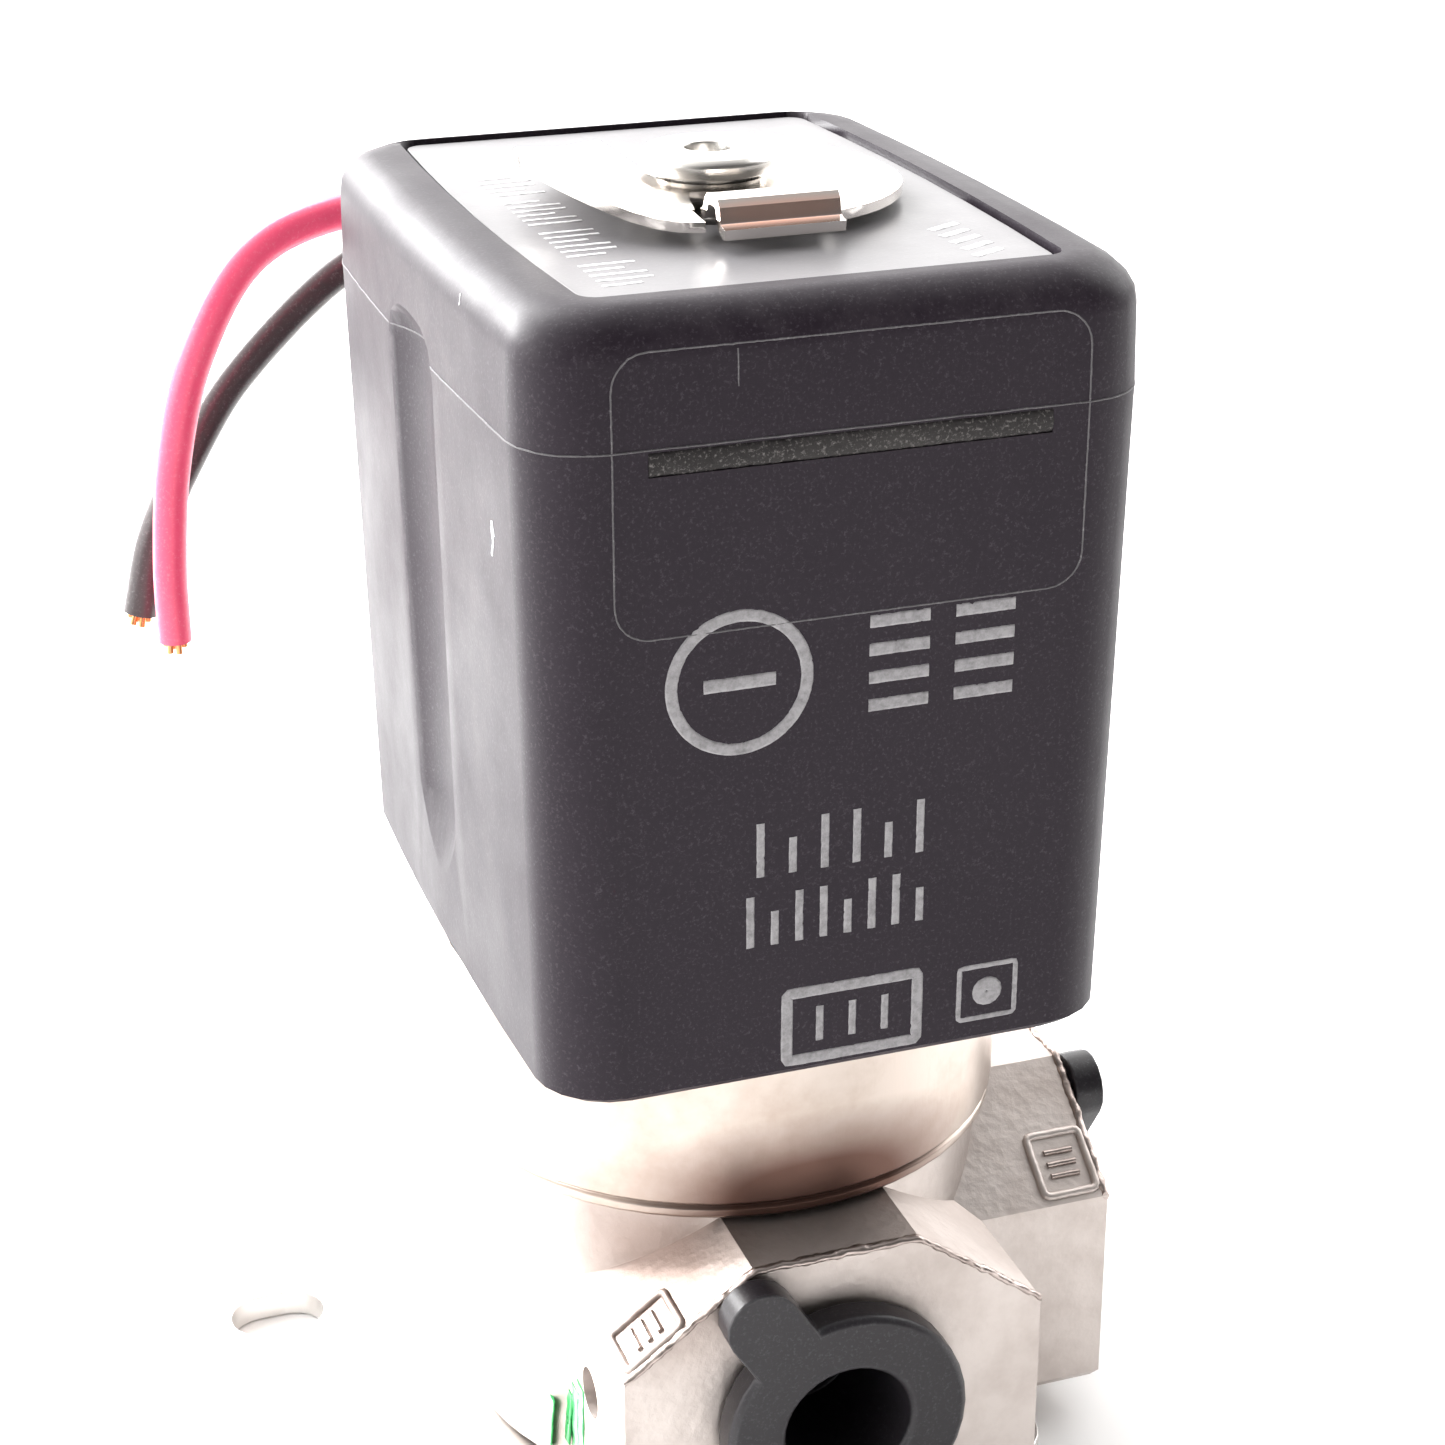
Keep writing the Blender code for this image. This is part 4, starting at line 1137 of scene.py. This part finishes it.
@dataclass
class Coil:
    """The moulded coil block with its print, its name plate and what is wound inside it."""

    shop: Workshop
    print_depth: float = 0.05 * MM
    plate_top: float = 69.75 * MM
    wire: float = 0.45 * MM
    drum_radius: float = 12.1 * MM
    winding_low: float = 34.9 * MM
    winding_high: float = 61.9 * MM
    crease: float = 30.0

    def build_block(self) -> None:
        """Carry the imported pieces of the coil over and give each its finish."""
        self.skin = Skin("coil_housing")
        plans = (
            ("coil_housing", "black_moulding", HOUSING_BLACK, 0.0),
            ("name_plate", "plate_film", PLATE_FILM, 0.08 * MM),
            ("coil_bobbin", "bobbin_plastic", NATURAL_NYLON, 0.15 * MM),
            ("magnet_yoke", "plated_steel", YOKE_STEEL, 0.12 * MM),
            ("flux_plate", "plated_steel", YOKE_STEEL, 0.12 * MM),
            ("lead_grommet", "seal_rubber", SEAL_RUBBER, 0.0),
            ("coil_winding", "copper_wire", COPPER, 0.0),
        )
        for node, slot, finish, edge in plans:
            self.shop.carry(node, "coil", slot, finish, self.crease, edge)

    def lay(self, points: Line, wall: Wall) -> list[Vector]:
        """Lay flat points on a wall of the block or on the name plate.

        Args:
            points: x and z on the front wall, y and z on the left one, x and y on top, in millimetres.
            wall: the wall that they lie on.

        Returns:
            The points on the wall, in metres.
        """
        if wall is Wall.TOP:
            return [Vector((x * MM, y * MM, self.plate_top)) for x, y in points]
        aim = -Vector(wall.value)
        if wall is Wall.LEFT:
            return [self.skin.touch(Vector((-OUTSIDE, y * MM, z * MM)), aim) for y, z in points]
        return [self.skin.touch(Vector((x * MM, -OUTSIDE, z * MM)), aim) for x, z in points]

    def stroke(
        self,
        name: str,
        lines: list[Line],
        shape: MarkShape,
        width: float,
        finish: Ink | Moulding = PRINT_SILVER,
        wall: Wall = Wall.FRONT,
    ) -> None:
        """Lay strokes of one width on a wall.

        Args:
            name: the piece's name.
            lines: the flat points of each stroke, in millimetres.
            shape: whether each stroke joins up.
            width: the strokes' width, in millimetres.
            finish: the ink, or the moulding that stands proud there.
            wall: the wall that they lie on.
        """
        closed = shape is MarkShape.CLOSED
        paths = [self.lay(finely(line, 0.5, closed), wall) for line in lines]
        slot = "black_moulding" if isinstance(finish, Moulding) else "plate_film"
        self.shop.sweep_piece(
            name, paths, closed, "coil", slot, finish, Width=width * MM, Height=self.print_depth,
            Step=0.2 * MM, Sides=10, Facing=wall.value, Ragged=0.07 * MM, Grain=4200.0, Seed=3.0,
        )

    def build_marks(self) -> None:
        """Print plain stand-in marks: a ring with a bar, stacks and rows of bars, and two frames."""
        ring = arc((-5.45, 52.25), 3.3, 0.0, 352.5, 47)
        stacks = [[(x, z), (x + 3.0, z)] for x in (0.9, 5.2) for z in (50.2, 51.6, 53.0, 54.4)]
        upper = self.tallies(-4.4, 4.5, 1.62, 42.15, 2.8)
        lower = self.tallies(-4.9, 5.0, 1.24, 38.45, 2.7)
        wide = rounded_frame((-3.0, 31.85), (3.8, 35.55), 0.12)
        wide_bars = [[(x, 32.75), (x, 34.65)] for x in (-1.3, 0.4, 2.1)]
        small = rounded_frame((6.05, 32.4), (9.05, 35.3), 0.1)
        dot = arc((7.55, 33.85), 0.42, 0.0, 345.0, 23)
        plans = (
            ("ring", [ring], MarkShape.CLOSED, 0.62),
            ("ring_bar", [[(-7.2, 52.25), (-3.7, 52.25)]], MarkShape.OPEN, 0.7),
            ("stacks", stacks, MarkShape.OPEN, 0.66),
            ("row_upper", upper, MarkShape.OPEN, 0.42),
            ("row_lower", lower, MarkShape.OPEN, 0.42),
            ("frame_wide", [wide], MarkShape.CLOSED, 0.62),
            ("frame_wide_bars", wide_bars, MarkShape.OPEN, 0.4),
            ("frame_small", [small], MarkShape.CLOSED, 0.28),
            ("frame_dot", [dot], MarkShape.CLOSED, 0.8),
        )
        for name, lines, shape, width in plans:
            self.stroke("mark_" + name, lines, shape, width)

    def tallies(self, start: float, end: float, pitch: float, foot: float, height: float) -> list[Line]:
        """Return a row of upright bars of two heights.

        Args:
            start: where the row begins, in millimetres.
            end: where it ends.
            pitch: the distance from one bar to the next.
            foot: the level that the bars stand on.
            height: the height of the tall bars.

        Returns:
            The bars' end points.
        """
        bars = []
        count = int((end - start) / pitch) + 1
        for k in range(count):
            tall = height if k % 3 != 1 else height * 0.66
            x = start + k * pitch
            bars.append([(x, foot), (x, foot + tall)])
        return bars

    def build_plate_print(self) -> None:
        """Print the name plate's plain marks: a long row of bars and five short slanted ones."""
        left, first, pitch = -9.9, -14.3, 0.93
        bars = []
        for k in range(25):
            if k % 7 == 5:
                continue
            y = first + k * pitch
            reach = 2.7 if k % 3 else 1.9
            bars.append([(left, y), (left + reach, y + 0.12)])
        self.stroke("plate_bars", bars, MarkShape.OPEN, 0.3, PLATE_PRINT, Wall.TOP)
        slashes = [[(7.8, y), (9.5, y + 0.9)] for y in (-15.0, -13.7, -12.4, -11.1, -9.8)]
        self.stroke("plate_slashes", slashes, MarkShape.OPEN, 0.52, PLATE_PRINT, Wall.TOP)

    def build_blemishes(self) -> None:
        """Add the rough gate strip, a fine witness line and the small nicks on the left wall."""
        half, depth, height = 9.68, -19.8, 63.12
        path = [Vector((x, depth, height)) * MM for x in (-half, *range(-9, 10), half)]
        self.shop.sweep_piece(
            "gate_strip", [path], False, "coil", "black_moulding", GATE_ROUGH, Width=1.2 * MM,
            Height=0.5 * MM, Step=0.12 * MM, Sides=16, Facing=Wall.FRONT.value, Ragged=0.16 * MM,
            Grain=2600.0, Seed=5.0,
        )
        self.stroke("witness_line", [[(-5.5, 66.3), (-5.5, 68.0)]], MarkShape.OPEN, 0.07, FLASH_GREY)
        nicks = [
            [(-13.5, 57.5), (-13.8, 58.2), (-13.6, 58.9)],
            [(-13.95, 58.5), (-13.7, 59.2)],
            [(-9.5, 68.2), (-9.2, 68.6)],
        ]
        self.stroke("wall_nicks", nicks, MarkShape.OPEN, 0.26, WHITE_NICK, Wall.LEFT)

    def build_flash(self) -> None:
        """Lay the fine moulding flash: the parting line all round and the insert's outline."""
        steps = 360
        outline = []
        for k in range(steps):
            angle = math.tau * k / steps
            outward = Vector((math.cos(angle), math.sin(angle), 0.0))
            start = Vector((0.0, 0.0, PARTING_HEIGHT + 0.03 * MM)) + outward * 0.05
            outline.append(self.skin.touch(start, -outward))
        self.shop.sweep_piece(
            "parting_flash", [outline], True, "coil", "black_moulding", FLASH_GREY, Width=0.1 * MM,
            Height=0.1 * MM, Step=0.25 * MM, Sides=6, Facing=UPWARD, Ragged=0.09 * MM, Grain=900.0, Seed=11.0,
        )
        insert = rounded_frame((-11.35, 54.9), (11.5, 68.2), 1.7)
        self.stroke("insert_flash", [insert], MarkShape.CLOSED, 0.09, FLASH_GREY)

    def build_winding(self) -> None:
        """Wind the outer layer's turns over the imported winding."""
        turns = round((self.winding_high - self.winding_low) / self.wire)
        steps = 48
        path = []
        for k in range(turns * steps + 1):
            angle = math.tau * k / steps
            height = self.winding_low + self.wire * (k / steps)
            across = Vector((math.cos(angle), math.sin(angle), 0.0)) * self.drum_radius
            path.append(across + Vector((0, 0, height)))
        self.shop.sweep_piece(
            "winding_turns", [path], False, "coil", "copper_wire", COPPER, Width=self.wire,
            Height=self.wire, Step=1.4 * MM, Sides=6, Facing=UPWARD,
        )

    def build(self) -> None:
        """Build the whole coil."""
        self.build_block()
        self.build_winding()
        self.build_marks()
        self.build_plate_print()
        self.build_flash()
        self.build_blemishes()


# ---------------------------------------------------------------------------------------
# Clip, stem, collar, body, caps and bracket
# ---------------------------------------------------------------------------------------
@dataclass
class Clip:
    """The sprung retaining clip."""

    shop: Workshop
    edge: float = 0.1 * MM

    def build(self) -> None:
        """Carry the clip over with eased edges."""
        self.shop.carry("retaining_clip", "clip", "stainless", STAINLESS, edge=self.edge)


@dataclass
class Stem:
    """The core tube with its fixed core, plunger, spring and seals."""

    shop: Workshop
    edge: float = 0.1 * MM

    def build(self) -> None:
        """Carry every piece of the stem over."""
        shop = self.shop
        shop.carry("core_tube", "valve", "stainless", DRAWN_STEEL, edge=self.edge)
        shop.carry("fixed_core", "valve", "core_steel", CORE_STEEL, edge=self.edge)
        shop.carry("tube_o_ring", "valve", "seal_rubber", SEAL_RUBBER, 40.0)
        shop.carry("armature", "armature", "core_steel", CORE_STEEL, edge=self.edge)
        shop.carry("armature_seal", "armature", "seal_rubber", SEAL_RUBBER)
        shop.carry("push_rod", "push_rod", "stainless", DRAWN_STEEL)


@dataclass
class ValveBody:
    """The cast body with its collar, plug, seats and poppet."""

    shop: Workshop
    edge: float = 0.15 * MM
    collar_edge: float = 0.1 * MM
    plug_edge: float = 0.08 * MM
    half_width: float = 11.5 * MM
    flat_half: float = 4.5 * MM
    shoulder: float = 19.8 * MM
    chamfer_drop: float = 5.2 * MM
    thread_radius: float = 4.36 * MM
    thread_pitch: float = 0.91 * MM
    thread_depth: float = 8.2 * MM
    thread_start: float = 0.6 * MM
    label_drop: float = 4.3 * MM
    ports: tuple[tuple[str, float], ...] = (("front", 0.0), ("right", 90.0), ("back", 180.0))

    def carry_pieces(self) -> None:
        """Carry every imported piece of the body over."""
        shop = self.shop
        self.skin = Skin("valve_body")
        shop.carry("bonnet_collar", "valve", "turned_collar", COLLAR_METAL, edge=self.collar_edge)
        shop.carry("valve_body", "valve", "cast_metal", CAST_METAL, edge=self.edge)
        shop.carry("bottom_plug", "valve", "turned_collar", PLUG_METAL, edge=self.plug_edge)
        shop.carry("plug_o_ring", "valve", "seal_rubber", SEAL_RUBBER, 40.0)
        shop.carry("upper_seat", "valve", "stainless", DRAWN_STEEL)
        shop.carry("lower_seat", "valve", "stainless", DRAWN_STEEL)
        shop.carry("poppet", "poppet", "seal_rubber", SEAL_RUBBER)

    def build_burr(self) -> None:
        """Lay the rough casting burr along each boss's outline."""
        low_end = self.shoulder - self.chamfer_drop
        outline = [
            (-self.half_width, low_end), (-self.flat_half, self.shoulder), (self.flat_half, self.shoulder),
            (self.half_width, low_end),
        ]
        for side, turn in self.ports:
            spin = Matrix.Rotation(math.radians(turn), 3, "Z")
            line = finely(outline, 0.6 * MM, False)
            path = [spin @ Vector((x, -BOSS_REACH + 0.12 * MM, z - 0.03 * MM)) for x, z in line]
            self.shop.sweep_piece(
                "burr_" + side, [path], False, "valve", "cast_metal", CAST_BURR, Width=0.5 * MM,
                Height=0.42 * MM, Step=0.16 * MM, Sides=10, Facing=UPWARD, Ragged=0.4 * MM, Grain=1700.0,
                Seed=turn,
            )

    def build_labels(self) -> None:
        """Raise the two framed pads cast on the sloped shoulders, with plain bars in them."""
        down = Vector((self.half_width - self.flat_half, -self.chamfer_drop)).normalized()
        plans = (
            ("label_right", Vector((1, 0, 0)), Vector((0, -down.x, down.y)), 15.3 * MM),
            ("label_front", Vector((0, -1, 0)), Vector((-down.x, 0, down.y)), 15.2 * MM),
        )
        frame_line = finely(rounded_frame((0.25, 0.25), (3.45, 3.85), 0.3), 0.5, True)
        for name, outward, fall, start in plans:
            face = outward.cross(fall)
            face = face if face.z > 0 else -face
            side = Vector((fall.x, fall.y, 0.0)).normalized()
            corner = outward * start + side * self.flat_half + Vector((0, 0, self.shoulder))
            corner += fall * self.label_drop
            rim = [corner + (outward * u + fall * v) * MM for u, v in frame_line]
            self.shop.sweep_piece(
                name + "_rim", [rim], True, "valve", "cast_metal", CAST_METAL, Width=0.5 * MM,
                Height=0.5 * MM, Step=0.2 * MM, Sides=10, Facing=tuple(face), Ragged=0.12 * MM,
                Grain=1500.0, Seed=9.0,
            )
            bars = []
            for v in (1.35, 2.05, 2.75):
                bars.append([corner + (outward * u + fall * v) * MM for u in (1.0, 1.6, 2.2, 2.7)])
            self.shop.sweep_piece(
                name + "_bars", bars, False, "valve", "cast_metal", CAST_BURR, Width=0.34 * MM,
                Height=0.42 * MM, Step=0.2 * MM, Sides=10, Facing=tuple(face), Ragged=0.1 * MM,
                Grain=1500.0, Seed=4.0,
            )

    def build_threads(self) -> None:
        """Line each port with a fine helical rib, as a pipe thread has."""
        steps = 36
        turns = self.thread_depth / self.thread_pitch
        for side, turn in self.ports:
            spin = Matrix.Rotation(math.radians(turn), 3, "Z")
            path = []
            for k in range(round(turns * steps) + 1):
                angle = math.tau * k / steps
                reach = BOSS_REACH - self.thread_start - self.thread_pitch * k / steps
                across = Vector((math.cos(angle), 0.0, math.sin(angle))) * self.thread_radius
                path.append(spin @ (across + Vector((0.0, -reach, 0.0))) + Vector((0.0, 0.0, PORT_HEIGHT)))
            self.shop.sweep_piece(
                "thread_" + side, [path], False, "valve", "cast_metal", CAST_METAL, Width=0.42 * MM,
                Height=0.42 * MM, Step=0.7 * MM, Sides=5, Facing=UPWARD,
            )

    def build_paint(self) -> None:
        """Dab the green inspection paint on the left of the front boss."""
        dabs = [[(-7.6 - k * 1.1, 3.0 + k % 2), (-7.9 - k * 1.1, 6.4 + 0.9 * k)] for k in range(4)]
        paths = []
        for dab in dabs:
            line = finely(dab, 0.6, False)
            starts = [Vector((-OUTSIDE, y * MM, z * MM)) for y, z in line]
            paths.append([self.skin.touch(start, Vector((1, 0, 0))) for start in starts])
        self.shop.sweep_piece(
            "paint_dab", paths, False, "valve", "cast_metal", GREEN_PAINT, Width=1.3 * MM,
            Height=0.16 * MM, Step=0.25 * MM, Sides=10, Facing=Wall.LEFT.value, Ragged=0.3 * MM,
            Grain=1100.0, Seed=2.0,
        )

    def build(self) -> None:
        """Build the whole body."""
        self.carry_pieces()
        self.build_burr()
        self.build_labels()
        self.build_threads()
        self.build_paint()


@dataclass
class DustCaps:
    """The three push-in caps."""

    shop: Workshop
    edge: float = 0.12 * MM

    def build(self) -> None:
        """Carry the caps over."""
        for side in ("front", "right", "back"):
            self.shop.carry("dust_plug_" + side, "cap_" + side, "cap_plastic", CAP_BLACK, edge=self.edge)


@dataclass
class Foot:
    """The foot bracket and its screws."""

    shop: Workshop
    edge: float = 0.12 * MM

    def build(self) -> None:
        """Carry the bracket and screws over."""
        self.shop.carry("mounting_bracket", "valve", "zinc_plate", ZINC, edge=self.edge)
        for end in ("front", "back"):
            self.shop.carry("bracket_screw_" + end, "valve", "zinc_plate", ZINC)


def dress_springs(shop: Workshop) -> None:
    """Give the two packed springs their finish.

    Args:
        shop: where the materials are kept.
    """
    for node in ("return_spring", "poppet_spring"):
        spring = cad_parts[node]
        spring.data.materials.clear()
        spring.data.materials.append(shop.material(DRAWN_STEEL))
        LOG.info("%s keeps its packed shape", node)


def main() -> None:
    """Build the studio and every sub-assembly, in order."""
    logging.basicConfig(level=logging.INFO, format="%(message)s")
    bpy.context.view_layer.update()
    Studio().build()
    shop = Workshop()
    for assembly in (Leads, Coil, Clip, Stem, ValveBody, DustCaps, Foot):
        assembly(shop).build()
    dress_springs(shop)


if __name__ == "__main__":
    main()
